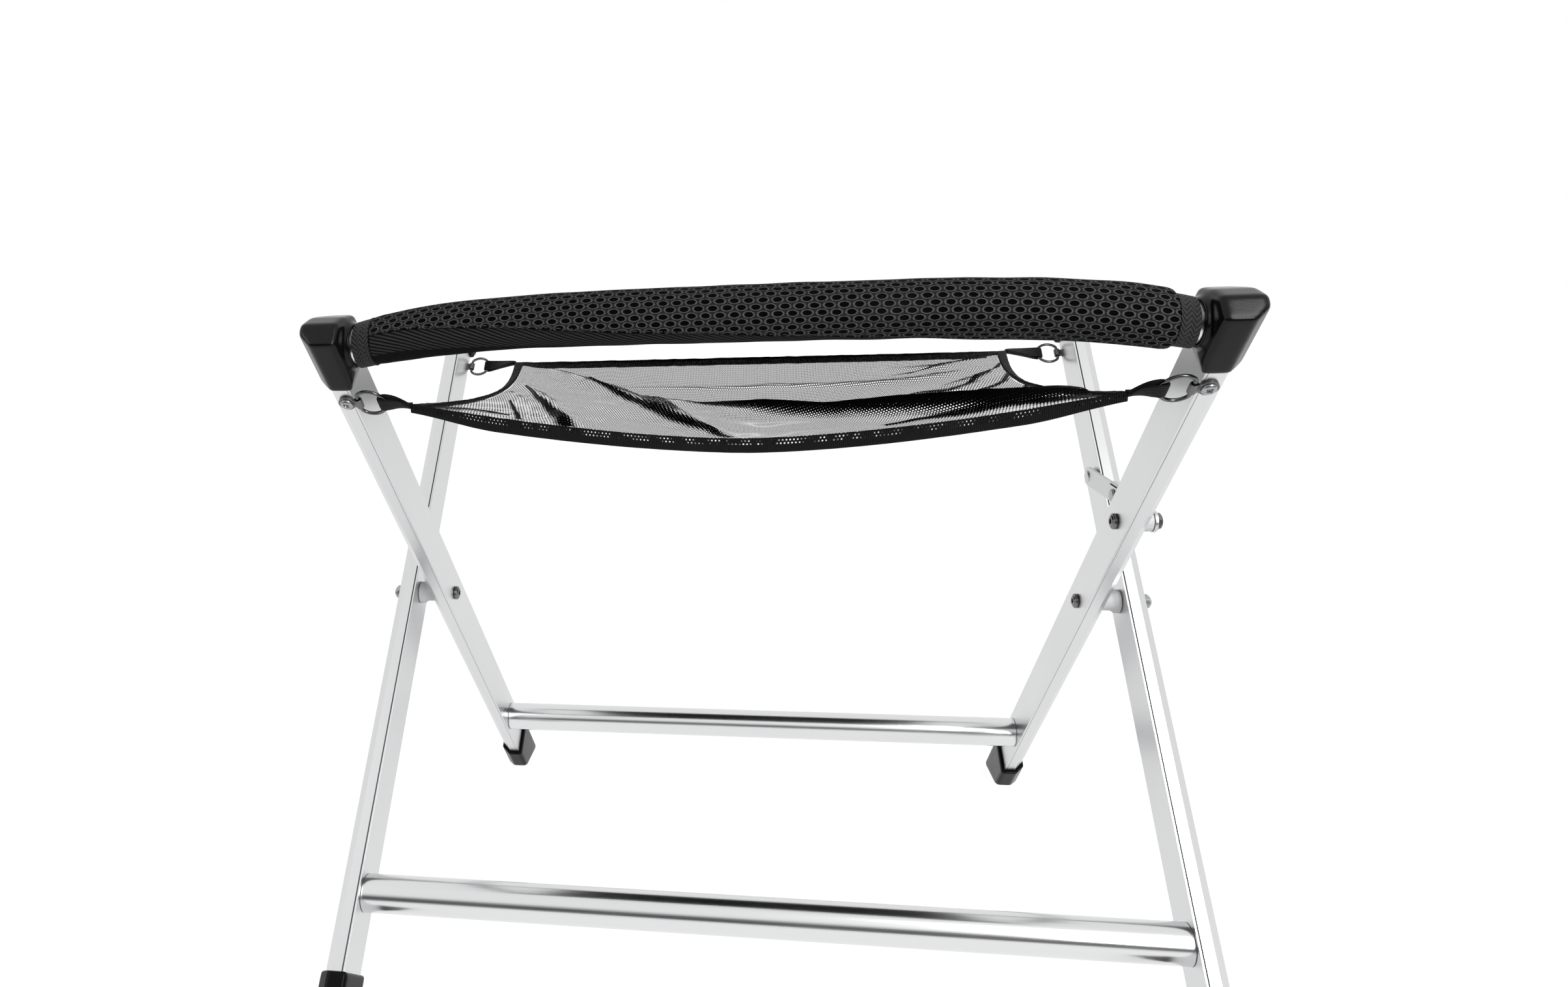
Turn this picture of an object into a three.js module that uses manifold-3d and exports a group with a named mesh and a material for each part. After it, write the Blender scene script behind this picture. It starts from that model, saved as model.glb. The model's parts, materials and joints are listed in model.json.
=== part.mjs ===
// Folding footstool: two aluminium leg frames crossed in an X, a padded mesh sling over
// two arched rails, a storage net slung below it on four D-rings, and one folding lock stay.
//
// Millimetres, +Z up, +X to the right, +Y away from the viewer. The origin is on the floor,
// midway between the feet. The inner leg frame has its rail in front and its feet behind;
// the outer one is the same frame turned half a turn about Z, and wider.

import * as THREE from 'three';
import { mergeVertices } from 'three/addons/utils/BufferGeometryUtils.js';
import Module from 'manifold-3d';

const wasm = await Module();
wasm.setup();

// Driving sizes of the frames
const openHalfAngle = THREE.MathUtils.degToRad( 41 ); // each leg frame leans this far from upright
const innerFaceSpacing = 464; // between the facing sides of the inner legs
const pivotGap = 13; // between an inner leg and the outer leg beside it
const pivotToFoot = 321.5; // along the leg, down to the floor
const pivotToRail = 267; // along the leg, up to the rail's axis
const pivotToCrossbar = 224; // along the leg, down to the crossbar's axis
const legWidth = 30; // in the plane of the frame
const legDepth = 15; // across the stool
const legWall = 1.5;
const legChamfer = 6.5; // along the two outer edges
const grooveInset = 1.3; // fine line beside each inner edge of a leg
const grooveWidth = 0.5;
const grooveDepth = 0.35;
const railDiameter = 22;
const railWall = 1.5;
const railRise = 15.5; // of the arched middle over the straight ends, in the frame's plane
const railStraight = 9; // at each end, in the corner cap and by its mouth
const archPower = 4; // how flat the arch's middle is
const crossbarDiameter = 25;
const crossbarWall = 1.4;

// Clearances shared by everything that touches
const gap = 0.3; // between faces that bear on each other
const softGap = 0.35; // between fabric and what it goes round
const overrun = 2; // of a cutting tool past the face that it leaves

// Facets round a full circle
const tubeSides = 16;
const boreSides = 12;
const headSides = 16;
const barSides = 24;

// Places that follow from the driving sizes
const sine = Math.sin( openHalfAngle );
const cosine = Math.cos( openHalfAngle );
const pivotHeight = pivotToFoot * cosine;
const innerFace = innerFaceSpacing / 2;
const outerFace = innerFace + legDepth + pivotGap;
const railRadius = railDiameter / 2;
const railY = pivotToRail * sine;
const railZ = pivotHeight + pivotToRail * cosine;

const finishes = {
	aluminium: { color: 0xc9cacc, roughness: 0.35, metalness: 1 },
	brightTube: { color: 0xdcdddf, roughness: 0.2, metalness: 1 },
	zincSteel: { color: 0xa9a9ab, roughness: 0.3, metalness: 1 },
	darkSteel: { color: 0x6a6a6c, roughness: 0.35, metalness: 1 },
	bushing: { color: 0xd9dadb, roughness: 0.55, metalness: 0 },
	blackPlastic: { color: 0x161617, roughness: 0.4, metalness: 0 },
	spacerMesh: { color: 0x1d1d1f, roughness: 0.9, metalness: 0 },
	webbing: { color: 0x18181a, roughness: 0.85, metalness: 0 },
	netting: { color: 0x202022, roughness: 0.8, metalness: 0 },
};

// A scene object for one piece. Its faces are turned to point out.

function piece( name, geometry, finish ) {

	const mesh = new THREE.Mesh( facingOut( geometry ), new THREE.MeshStandardMaterial( finishes[ finish ] ) );
	mesh.name = name;
	return mesh;

}

const mergeDistance = 1e-3; // nearer vertices are one

function welded( geometry ) {

	const bare = geometry.clone();
	bare.deleteAttribute( 'normal' );
	bare.deleteAttribute( 'uv' );
	const merged = mergeVertices( bare, mergeDistance );
	const index = merged.index.array;
	const kept = [];
	for ( let i = 0; i < index.length; i += 3 ) {

		const [ a, b, c ] = [ index[ i ], index[ i + 1 ], index[ i + 2 ] ];
		if ( a !== b && b !== c && c !== a ) kept.push( a, b, c );

	}

	merged.setIndex( kept );
	return merged;

}

function signedVolume( geometry ) {

	const place = geometry.attributes.position;
	const index = geometry.index.array;
	const a = new THREE.Vector3();
	const b = new THREE.Vector3();
	const c = new THREE.Vector3();
	let total = 0;
	for ( let i = 0; i < index.length; i += 3 ) {

		a.fromBufferAttribute( place, index[ i ] );
		b.fromBufferAttribute( place, index[ i + 1 ] );
		c.fromBufferAttribute( place, index[ i + 2 ] );
		total += a.dot( b.cross( c ) ) / 6;

	}

	return total;

}

function facingOut( geometry ) {

	const merged = welded( geometry );
	if ( signedVolume( merged ) < 0 ) {

		const index = merged.index.array;
		for ( let i = 0; i < index.length; i += 3 ) {

			[ index[ i + 1 ], index[ i + 2 ] ] = [ index[ i + 2 ], index[ i + 1 ] ];

		}

	}

	merged.computeVertexNormals();
	return merged;

}

// Boolean cuts and joins

function solid( geometry ) {

	const closed = facingOut( geometry );
	return new wasm.Manifold( new wasm.Mesh( {
		numProp: 3,
		vertProperties: Float32Array.from( closed.attributes.position.array ),
		triVerts: Uint32Array.from( closed.index.array ),
	} ) );

}

function surface( body ) {

	const mesh = body.getMesh();
	const geometry = new THREE.BufferGeometry();
	geometry.setAttribute( 'position', new THREE.BufferAttribute( mesh.vertProperties, mesh.numProp ) );
	geometry.setIndex( new THREE.BufferAttribute( mesh.triVerts, 1 ) );
	return geometry;

}

function cut( geometry, ...tools ) {

	return surface( tools.reduce( ( body, tool ) => body.subtract( solid( tool ) ), solid( geometry ) ) );

}

function join( geometry, ...others ) {

	return surface( others.reduce( ( body, other ) => body.add( solid( other ) ), solid( geometry ) ) );

}

function common( geometry, other ) {

	return surface( solid( geometry ).intersect( solid( other ) ) );

}

// Extruded and turned forms, along X, Y or Z

const sectionToX = new THREE.Matrix4().makeBasis(
	new THREE.Vector3( 0, 1, 0 ), new THREE.Vector3( 0, 0, 1 ), new THREE.Vector3( 1, 0, 0 )
);

function prismX( shape, from, to, bevel = 0, steps = 1 ) {

	// The shape's own x and y become the prism's y and z.
	const geometry = new THREE.ExtrudeGeometry( shape, {
		depth: to - from - 2 * bevel,
		steps,
		bevelEnabled: bevel > 0,
		bevelThickness: bevel,
		bevelSize: bevel,
		bevelOffset: - bevel,
		bevelSegments: 2,
	} );
	geometry.translate( 0, 0, from + bevel );
	return geometry.applyMatrix4( sectionToX );

}

function prismZ( shape, from, to ) {

	const geometry = new THREE.ExtrudeGeometry( shape, { depth: to - from, bevelEnabled: false } );
	return geometry.translate( 0, 0, from );

}

// A closed outline, listed anticlockwise so that holes can be cut in it
function outline( points ) {

	const corners = points.map( ( [ x, y ] ) => new THREE.Vector2( x, y ) );
	if ( THREE.ShapeUtils.isClockWise( corners ) ) corners.reverse();
	return new THREE.Shape( corners );

}

function roundPath( x, y, radius, sides ) {

	return Array.from( { length: sides }, ( _, i ) => {

		const turn = 2 * Math.PI * ( i + 0.5 ) / sides;
		return new THREE.Vector2( x + radius * Math.cos( turn ), y + radius * Math.sin( turn ) );

	} );

}

function holed( shape, ...holes ) {

	shape.holes = holes.map( ( points ) => new THREE.Path( points ) );
	return shape;

}

// The two ends, lowest first, of what reaches from one distance to another on one side
function between( side, from, to ) {

	return [ side * from, side * to ].sort( ( a, b ) => a - b );

}

function rodX( radius, from, to, y, z, sides = boreSides ) {

	return prismX( new THREE.Shape( roundPath( y, z, radius, sides ) ), from, to );

}

function rodY( radius, from, to, x, z, sides = boreSides ) {

	const geometry = new THREE.CylinderGeometry( radius, radius, to - from, sides );
	return geometry.translate( x, ( from + to ) / 2, z );

}

// A profile of radius and distance along the axis, turned about X towards side.
function turnedX( profile, side, y, z, sides = headSides ) {

	const points = profile.map( ( [ radius, along ] ) => new THREE.Vector2( radius, along ) );
	const geometry = new THREE.LatheGeometry( points, sides );
	geometry.rotateZ( - Math.PI / 2 );
	if ( side < 0 ) geometry.rotateZ( Math.PI );
	return geometry.translate( 0, y, z );

}

// The outline across a leg, in the frame's x and y: flat inner face, two chamfered outer edges.
function legOutline( side, inner, outer, halfWidth, chamfer ) {

	return [
		[ side * inner, - halfWidth ],
		[ side * ( outer - chamfer ), - halfWidth ],
		[ side * outer, - halfWidth + chamfer ],
		[ side * outer, halfWidth - chamfer ],
		[ side * ( outer - chamfer ), halfWidth ],
		[ side * inner, halfWidth ],
	];

}

// Chamfer of an outline that lies a wall's thickness outside another one, or inside if negative
const grownChamfer = ( chamfer, wall ) => chamfer + wall * ( 2 - Math.SQRT2 );

// Leg extrusion

const capSkirt = 20; // of the corner cap, below the rail's axis
const legAboveRail = 6; // reach of the leg past the rail's axis, inside its cap
const bootHeight = 48; // of the foot boot, measured up the leg's centreline from the floor
const legEndInBoot = 18; // from the floor to the leg's end, on the centreline
const boltDiameter = 6;
const lugScrewDiameter = 4;
const lugBelowCap = 11; // from the corner cap's skirt down the leg to the ring lug's screw
const portScrewDiameter = 3.6; // self-tapping screw in a crossbar's end
const lockLowerReach = 96.8; // from the pivot to the stay's bolt on the inner leg
const lockUpperReach = 104.5; // from the pivot to the stay's rivet on the outer leg

const lugScrewReach = pivotToRail - capSkirt - lugBelowCap; // from the pivot

function leg( side, face, crossHoles, frontHole ) {

	const halfWidth = legWidth / 2;
	const outer = face + legDepth;
	const skin = legOutline( side, face, outer, halfWidth, legChamfer );
	const groove = ( edge, inwards ) => [
		[ side * ( face + grooveInset + grooveWidth ), edge ],
		[ side * ( face + grooveInset + grooveWidth / 2 ), edge + inwards * grooveDepth ],
		[ side * ( face + grooveInset ), edge ],
	];
	const section = outline( [
		skin[ 0 ],
		...groove( - halfWidth, 1 ).reverse(),
		...skin.slice( 1, 5 ),
		...groove( halfWidth, - 1 ),
		skin[ 5 ],
	] );
	const hollow = legOutline(
		side, face + legWall, outer - legWall, halfWidth - legWall, grownChamfer( legChamfer, - legWall )
	).map( ( [ x, y ] ) => new THREE.Vector2( x, y ) );
	const bar = prismZ( holed( section, hollow ), - pivotToFoot + legEndInBoot, pivotToRail + legAboveRail );
	const through = crossHoles.map( ( { at, radius, to = outer + overrun } ) =>
		rodX( radius, ...between( side, face - overrun, to ), 0, at ) );
	const front = rodY(
		frontHole.radius, - halfWidth - overrun, - halfWidth + legWall + overrun,
		side * frontHole.x, frontHole.at
	);
	return cut( bar, ...through, front );

}

// Corner cap: a moulded elbow over the leg's top and the rail's end

const capWall = 3;
const capSocketDepth = 5.5; // of the elbow inboard of the leg
const capBevel = 2.4;
const capMouthWall = 2.2; // of the round mouth about the rail
const capMouthReach = 2.6;
const capCrown = 22; // highest point above the rail's axis
const capRidge = 18; // height of the front ridge
const capBrow = 5; // from the rail's axis forward to the crown
const capShoulder = 6; // from the rail's axis back to where the top turns down
const capShoulderHeight = 17;
const capBackHeight = 8;
const capInnerTaper = 3.5; // drawn in at the skirt, on the inboard side

function cornerCap( side, face ) {

	const halfWidth = legWidth / 2 + capWall;
	const outer = face + legDepth + capWall;
	const inner = face - capSocketDepth;
	const profile = outline( [
		[ - halfWidth, - capSkirt ],
		[ halfWidth, - capSkirt ],
		[ halfWidth, capBackHeight ],
		[ capShoulder, capShoulderHeight ],
		[ - capBrow, capCrown ],
		[ - halfWidth, capRidge ],
	] );
	const body = prismX( profile, ...between( side, inner, outer ), capBevel );
	const chamfered = prismZ(
		outline( legOutline( side, inner, outer, halfWidth, grownChamfer( legChamfer, capWall ) ) ),
		- capSkirt - overrun, capCrown + overrun
	);
	const taper = prismThrough( [
		[ side * ( inner - overrun ), - railRadius - capMouthWall ],
		[ side * inner, - railRadius - capMouthWall ],
		[ side * ( inner + capInnerTaper ), - capSkirt - overrun ],
		[ side * ( inner - overrun ), - capSkirt - overrun ],
	], halfWidth + overrun );
	const mouthStart = inner - capMouthReach;
	const mouth = rodX( railRadius + capMouthWall, ...between( side, mouthStart, inner + capWall ), 0, 0, barSides );
	const pocket = prismZ(
		outline( legOutline( side, face - gap, face + legDepth + gap, legWidth / 2 + gap, legChamfer ) ),
		- capSkirt - overrun, legAboveRail + gap
	);
	const bore = rodX( railRadius + gap, ...between( side, mouthStart - overrun, face + overrun ), 0, 0, tubeSides );
	return cut( join( cut( common( body, chamfered ), taper ), mouth ), pocket, bore )
		.translate( 0, 0, pivotToRail );

}

// A prism through the frame's thickness, from an outline in x and z
function prismThrough( points, halfThickness ) {

	return prismZ( outline( points ), - halfThickness, halfThickness ).rotateX( Math.PI / 2 );

}

// Foot boot: pulled over the leg's end, with a sole that is flat on the floor

const bootWall = 3;
const bootBevel = 2.5;
const bootToe = 3; // corner cut at the front of the sole
const bootHeel = 5; // corner cut at its back

function footBoot( side, face ) {

	const halfWidth = legWidth / 2 + bootWall;
	const rim = - pivotToFoot + bootHeight;
	const sole = ( y ) => - ( pivotHeight + y * sine ) / cosine;
	const profile = outline( [
		[ - halfWidth, rim ],
		[ - halfWidth, sole( - halfWidth ) + bootToe ],
		[ - halfWidth + bootToe, sole( - halfWidth + bootToe ) ],
		[ halfWidth - bootHeel, sole( halfWidth - bootHeel ) ],
		[ halfWidth, sole( halfWidth ) + bootHeel ],
		[ halfWidth, rim ],
	] );
	const inner = face - bootWall;
	const outer = face + legDepth + bootWall;
	const body = prismX( profile, ...between( side, inner, outer ), bootBevel );
	const chamfered = prismZ(
		outline( legOutline( side, inner, outer, halfWidth, grownChamfer( legChamfer, bootWall ) ) ),
		sole( halfWidth ) - overrun, rim + overrun
	);
	const pocket = prismZ(
		outline( legOutline( side, face - gap, face + legDepth + gap, legWidth / 2 + gap, legChamfer ) ),
		- pivotToFoot + legEndInBoot - gap, rim + overrun
	);
	return cut( common( body, chamfered ), pocket );

}

// Rails. They are straight at both ends and arched between, all in the frame's plane.

const bareTube = 2; // seen between a near cap's mouth and the webbing collar
const collarLength = 10.5;
const padStationCount = 18;

const collarEnd = innerFace - capSocketDepth - capMouthReach - bareTube;
const collarStart = collarEnd - collarLength;
const padEnd = collarStart - gap;
const padStations = Array.from( { length: padStationCount + 1 }, ( _, i ) =>
	padEnd * Math.sin( Math.PI * ( i / padStationCount - 0.5 ) ) );

function railPlan( face ) {

	const archEnd = face - railStraight;
	const rise = ( x ) => Math.abs( x ) < archEnd ? railRise * ( 1 - ( x / archEnd ) ** archPower ) : 0;
	const outwards = [ collarStart, collarEnd, archEnd, face - gap ];
	const stations = [ ...outwards.map( ( x ) => - x ).reverse(), ...padStations, ...outwards ];
	return { stations, rise };

}

const nearPlan = railPlan( innerFace );
const farPlan = railPlan( outerFace );

// Extrudes a section along X through the given stations, then moves each vertex.
function alongStations( section, stations, move ) {

	const count = stations.length - 1;
	const geometry = prismX( section, 0, count, 0, count );
	const place = geometry.attributes.position;
	const point = new THREE.Vector3();
	for ( let i = 0; i < place.count; i ++ ) {

		point.fromBufferAttribute( place, i );
		point.x = stations[ Math.round( point.x ) ];
		move( point );
		place.setXYZ( i, point.x, point.y, point.z );

	}

	return geometry;

}

function rail( plan ) {

	const section = holed(
		new THREE.Shape( roundPath( 0, 0, railRadius, tubeSides ) ),
		roundPath( 0, 0, railRadius - railWall, boreSides )
	);
	return alongStations( section, plan.stations, ( point ) => {

		point.z += pivotToRail + plan.rise( point.x );

	} );

}

// Crossbar: a round extrusion with a screw port on its axis, held by two ribs

const portWall = 1.3;
const portRib = 1.4;
const portSides = 8;

function crossbar( face ) {

	const ring = crossbarDiameter / 2 - crossbarWall;
	const portRadius = portScrewDiameter / 2 + gap;
	const boss = portRadius + portWall;
	const cavity = ( up ) => {

		const start = Math.asin( portRib / 2 / ring );
		const inner = Math.asin( portRib / 2 / boss );
		const shell = Array.from( { length: boreSides }, ( _, i ) => {

			const turn = THREE.MathUtils.lerp( start, Math.PI - start, i / ( boreSides - 1 ) );
			return new THREE.Vector2( ring * Math.cos( turn ), up * ring * Math.sin( turn ) );

		} );
		const core = Array.from( { length: portSides }, ( _, i ) => {

			const turn = THREE.MathUtils.lerp( Math.PI - inner, inner, i / ( portSides - 1 ) );
			return new THREE.Vector2( boss * Math.cos( turn ), up * boss * Math.sin( turn ) );

		} );
		return [ ...shell, ...core ];

	};

	const section = holed(
		new THREE.Shape( roundPath( 0, 0, crossbarDiameter / 2, barSides ) ),
		roundPath( 0, 0, portRadius, portSides ), cavity( 1 ), cavity( - 1 )
	);
	return prismX( section, - face + gap, face - gap ).translate( 0, 0, - pivotToCrossbar );

}

const portScrewHead = 4.5; // radius
const portScrewHeadHeight = 2.2;
const portScrewGrip = 22; // in the crossbar

function portScrew( side, face ) {

	const shank = portScrewDiameter / 2;
	const seat = face + legDepth + gap;
	return turnedX( [
		[ 0, face - gap - portScrewGrip ],
		[ shank / 2, face - gap - portScrewGrip ],
		[ shank, face - gap - portScrewGrip + shank ],
		[ shank, seat ],
		[ portScrewHead, seat ],
		[ portScrewHead, seat + portScrewHeadHeight / 2 ],
		[ portScrewHead / 2, seat + portScrewHeadHeight ],
		[ 0, seat + portScrewHeadHeight ],
	], side, 0, - pivotToCrossbar, boreSides );

}

// D-ring, the folded lug that holds its straight bar, and the lug's pan-head screw

const ringWire = 2.2;
const ringRadius = 9.2; // to the middle of the wire
const ringBarInset = 7; // from the ring's centre to its straight bar
const ringSeam = 0.4; // butt gap in the bar, inside the lug's eye
const ringSteps = 20;
const wireSides = 6;
const lugPlate = 1.2;
const lugOverhang = 3.1; // from the leg's inner face to the middle of the eye
const lugHeadRadius = 4.8;
const lugHeadTurn = 2; // radians round its head, each way from the tip
const lugNeck = 5.4; // width beside the eye
const lugScrewInset = 4.4; // from the leg's inner face
const panHeadRadius = 4.1;
const panHeadHeight = 2.6;
const panHeadShares = [ [ 1, 0.35 ], [ 0.8, 0.85 ], [ 0.4, 1 ] ]; // of its radius and height
const lugScrewLength = 12;

const lugY = - legWidth / 2 - gap - lugPlate / 2;
const wireRadius = ringWire / 2;
const eyeRadius = wireRadius + gap + lugPlate;

class RingWire extends THREE.Curve {

	// Half the bar, the round part, and the other half of the bar, in x and z
	getPoint( t, target = new THREE.Vector3() ) {

		const halfBar = Math.sqrt( ringRadius ** 2 - ringBarInset ** 2 );
		const corner = Math.atan2( halfBar, ringBarInset );
		const arc = 2 * ( Math.PI - corner ) * ringRadius;
		const bar = halfBar - ringSeam / 2;
		const along = t * ( arc + 2 * bar ) - bar;
		if ( along < 0 ) return target.set( - ringBarInset, 0, - halfBar - along );
		if ( along > arc ) return target.set( - ringBarInset, 0, halfBar - ( along - arc ) );
		const turn = - Math.PI + corner + along / ringRadius;
		return target.set( ringRadius * Math.cos( turn ), 0, ringRadius * Math.sin( turn ) );

	}

}

function ring( side, face ) {

	const section = new THREE.Shape( roundPath( 0, 0, wireRadius, wireSides ) );
	const wire = new THREE.ExtrudeGeometry( section, {
		extrudePath: new RingWire(), steps: ringSteps, bevelEnabled: false,
	} );
	// The bar lies towards the leg, so the right-hand ring is turned round.
	if ( side > 0 ) wire.rotateZ( Math.PI );
	return wire.translate( side * ( face - lugOverhang - ringBarInset ), lugY, lugScrewReach );

}

function lug( side, face ) {

	const screwX = face + lugScrewInset;
	const eyeX = face - lugOverhang;
	const sheet = prismX(
		outline( [
			[ lugY - lugPlate / 2, lugScrewReach - lugHeadRadius - overrun ],
			[ lugY + lugPlate / 2, lugScrewReach - lugHeadRadius - overrun ],
			[ lugY + lugPlate / 2, lugScrewReach + lugHeadRadius + overrun ],
			[ lugY - lugPlate / 2, lugScrewReach + lugHeadRadius + overrun ],
		] ),
		...between( side, eyeX, screwX + lugHeadRadius + overrun )
	);
	const halfEye = lugNeck / 2;
	const eye = prismZ(
		new THREE.Shape( roundPath( side * eyeX, lugY, eyeRadius, boreSides ) ),
		lugScrewReach - halfEye, lugScrewReach + halfEye
	);
	const bore = prismZ(
		new THREE.Shape( roundPath( side * eyeX, lugY, wireRadius + gap, wireSides ) ),
		lugScrewReach - halfEye - overrun, lugScrewReach + halfEye + overrun
	);
	const plan = new THREE.ExtrudeGeometry( outline( [
		[ side * ( eyeX - eyeRadius - overrun ), - halfEye ],
		[ side * ( screwX - lugHeadRadius ), - halfEye ],
		...Array.from( { length: boreSides }, ( _, i ) => {

			const turn = THREE.MathUtils.lerp( - lugHeadTurn, lugHeadTurn, i / ( boreSides - 1 ) );
			return [ side * ( screwX + lugHeadRadius * Math.cos( turn ) ), lugHeadRadius * Math.sin( turn ) ];

		} ),
		[ side * ( screwX - lugHeadRadius ), halfEye ],
		[ side * ( eyeX - eyeRadius - overrun ), halfEye ],
	] ), { depth: legWidth, bevelEnabled: false } );
	plan.rotateX( Math.PI / 2 ).translate( 0, lugY + legWidth / 2, lugScrewReach );
	const hole = rodY(
		lugScrewDiameter / 2 + gap, lugY - lugPlate - overrun, lugY + lugPlate + overrun,
		side * screwX, lugScrewReach
	);
	return cut( common( join( sheet, eye ), plan ), bore, hole );

}

function lugScrew( side, face ) {

	const shank = lugScrewDiameter / 2;
	const seat = lugPlate / 2 + gap;
	const points = [
		[ 0, seat - lugScrewLength ],
		[ shank / 2, seat - lugScrewLength ],
		[ shank, seat - lugScrewLength + shank ],
		[ shank, seat ],
		[ panHeadRadius, seat ],
		...panHeadShares.map( ( [ out, up ] ) => [ out * panHeadRadius, seat + up * panHeadHeight ] ),
		[ 0, seat + panHeadHeight ],
	].map( ( [ radius, along ] ) => new THREE.Vector2( radius, along ) );
	const screw = new THREE.LatheGeometry( points, boreSides );
	screw.rotateX( Math.PI );
	return screw.translate( side * ( face + lugScrewInset ), lugY, lugScrewReach );

}

// One leg frame, drawn with its pivot at the origin and its legs upright

function legFrame( { label, end, face, left, right, stayReach } ) {

	const group = new THREE.Group();
	const plan = railPlan( face );
	for ( const [ side, sideName ] of [ [ - 1, left ], [ 1, right ] ] ) {

		const crossHoles = [
			{ at: 0, radius: boltDiameter / 2 + gap },
			{ at: - pivotToCrossbar, radius: portScrewDiameter / 2 + gap },
		];
		if ( sideName === 'right' ) crossHoles.push( stayReach );
		const frontHole = { at: lugScrewReach, x: face + lugScrewInset, radius: lugScrewDiameter / 2 + gap };
		group.add(
			piece( `${ label }_leg_${ sideName }`, leg( side, face, crossHoles, frontHole ), 'aluminium' ),
			piece( `${ label }_foot_${ sideName }`, footBoot( side, face ), 'blackPlastic' ),
			piece( `${ label }_crossbar_screw_${ sideName }`, portScrew( side, face ), 'zincSteel' ),
			piece( `${ end }_corner_cap_${ sideName }`, cornerCap( side, face ), 'blackPlastic' ),
			piece( `${ end }_ring_lug_${ sideName }`, lug( side, face ), 'zincSteel' ),
			piece( `${ end }_lug_screw_${ sideName }`, lugScrew( side, face ), 'zincSteel' ),
			piece( `${ end }_ring_${ sideName }`, ring( side, face ), 'zincSteel' ),
			piece( `${ end }_collar_${ sideName }`, collar( side, plan ), 'webbing' ),
		);

	}

	group.add(
		piece( `${ label }_crossbar`, crossbar( face ), 'brightTube' ),
		piece( `${ end }_rail`, rail( plan ), 'brightTube' ),
	);
	return group;

}

// Webbing collar, sewn round the sleeve's end where the pad stops

const collarThick = 2; // beside the pad
const collarThin = 1.5; // at its free edge

function collar( side, plan ) {

	const bore = railRadius + softGap;
	const section = holed(
		new THREE.Shape( roundPath( 0, 0, bore + collarThick, tubeSides ) ),
		roundPath( 0, 0, bore, tubeSides )
	);
	const ends = between( side, collarStart, collarEnd );
	const shrink = ( bore + collarThin ) / ( bore + collarThick );
	return alongStations( section, ends, ( point ) => {

		const outside = Math.hypot( point.y, point.z ) > bore + collarThin / 2;
		const scale = outside && Math.abs( point.x ) === collarEnd ? shrink : 1;
		point.y *= scale;
		point.z = point.z * scale + pivotToRail + plan.rise( point.x );

	} );

}

// Pivots: a bolt from inside through both legs, a flanged bush in the gap and a lock nut

const boltHeadRadius = 5.2;
const boltHeadHeight = 3;
const headCrownShare = 0.72; // of a round head's radius, where its crown is flat
const socketRadius = 1.9;
const socketDepth = 1.8;
const nutRadius = 5.6; // across the corners
const nutThickness = 5;
const thinNutThickness = 3.2;
const boltProud = 0.8; // past the nut
const bushRadius = 6.5;
const bushFlangeRadius = 8.5;
const bushFlangeThickness = 4;

function socketBolt( side, seat, tip, y, z ) {

	const shank = boltDiameter / 2;
	const top = seat - boltHeadHeight;
	return turnedX( [
		[ 0, top + socketDepth ],
		[ socketRadius, top + socketDepth ],
		[ socketRadius, top ],
		[ boltHeadRadius * headCrownShare, top ],
		[ boltHeadRadius, top + boltHeadHeight / 2 ],
		[ boltHeadRadius, seat ],
		[ shank, seat ],
		[ shank, tip ],
		[ 0, tip ],
	], side, y, z );

}

function hexNut( side, from, thickness, y, z ) {

	const section = holed(
		new THREE.Shape( roundPath( y, z, nutRadius, 6 ) ),
		roundPath( y, z, boltDiameter / 2 + gap, boreSides )
	);
	return prismX( section, ...between( side, from, from + thickness ) );

}

function bush( side ) {

	const start = innerFace + legDepth + gap;
	const end = outerFace - gap;
	const bore = boltDiameter / 2 + gap;
	return turnedX( [
		[ bore, start ],
		[ bushRadius, start ],
		[ bushRadius, end - bushFlangeThickness ],
		[ bushFlangeRadius, end - bushFlangeThickness + gap ],
		[ bushFlangeRadius, end ],
		[ bore, end ],
		[ bore, start ],
	], side, 0, pivotHeight );

}

function pivots() {

	const group = new THREE.Group();
	const nutSeat = outerFace + legDepth + gap;
	const tip = nutSeat + nutThickness + boltProud;
	for ( const [ side, sideName ] of [ [ - 1, 'left' ], [ 1, 'right' ] ] ) {

		const bolt = socketBolt( side, innerFace - gap, tip, 0, pivotHeight );
		group.add(
			piece( `pivot_bolt_${ sideName }`, bolt, 'darkSteel' ),
			piece( `pivot_bush_${ sideName }`, bush( side ), 'bushing' ),
			piece( `pivot_nut_${ sideName }`, hexNut( side, nutSeat, nutThickness, 0, pivotHeight ), 'zincSteel' ),
		);

	}

	return group;

}

// Folding lock stay, in the gap between the right-hand legs. Open, its two links lie in line
// and the lower link's folded lip bears on the upper link's top edge. Lifting the knuckle by
// the thumb lobe breaks the line, and the frame folds.

const linkThickness = 2;
const linkRadius = 7; // half of its width
const linkSides = 14; // facets round a link's end
const knuckleShare = 0.53; // of the stay's length, from the lower bolt to the knuckle
const lipReach = 7; // along the link, each way from the knuckle
const lipThickness = 1.4;
const riserShare = 0.6; // of the lip's reach, at the riser's foot
const lobeDrop = 10; // of the thumb lobe below the link's edge
const lobeWidth = 12;
const lobeInset = 9; // from the knuckle back to the lobe's middle
const lobeShares = [ // of its width, from its middle, and of its drop
	[ - 0.8, 0 ], [ - 0.5, 0.6 ], [ - 0.25, 1 ], [ 0.25, 1 ], [ 0.5, 0.6 ], [ 0.8, 0 ],
];
const lobeHoleRadius = 1;
const rivetRadius = 2.5;
const rivetHeadRadius = 4.6;
const rivetHeadHeight = 1.5;
const rivetTail = 1.4;
const rivetTailShare = 0.8; // of the head's radius

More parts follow.
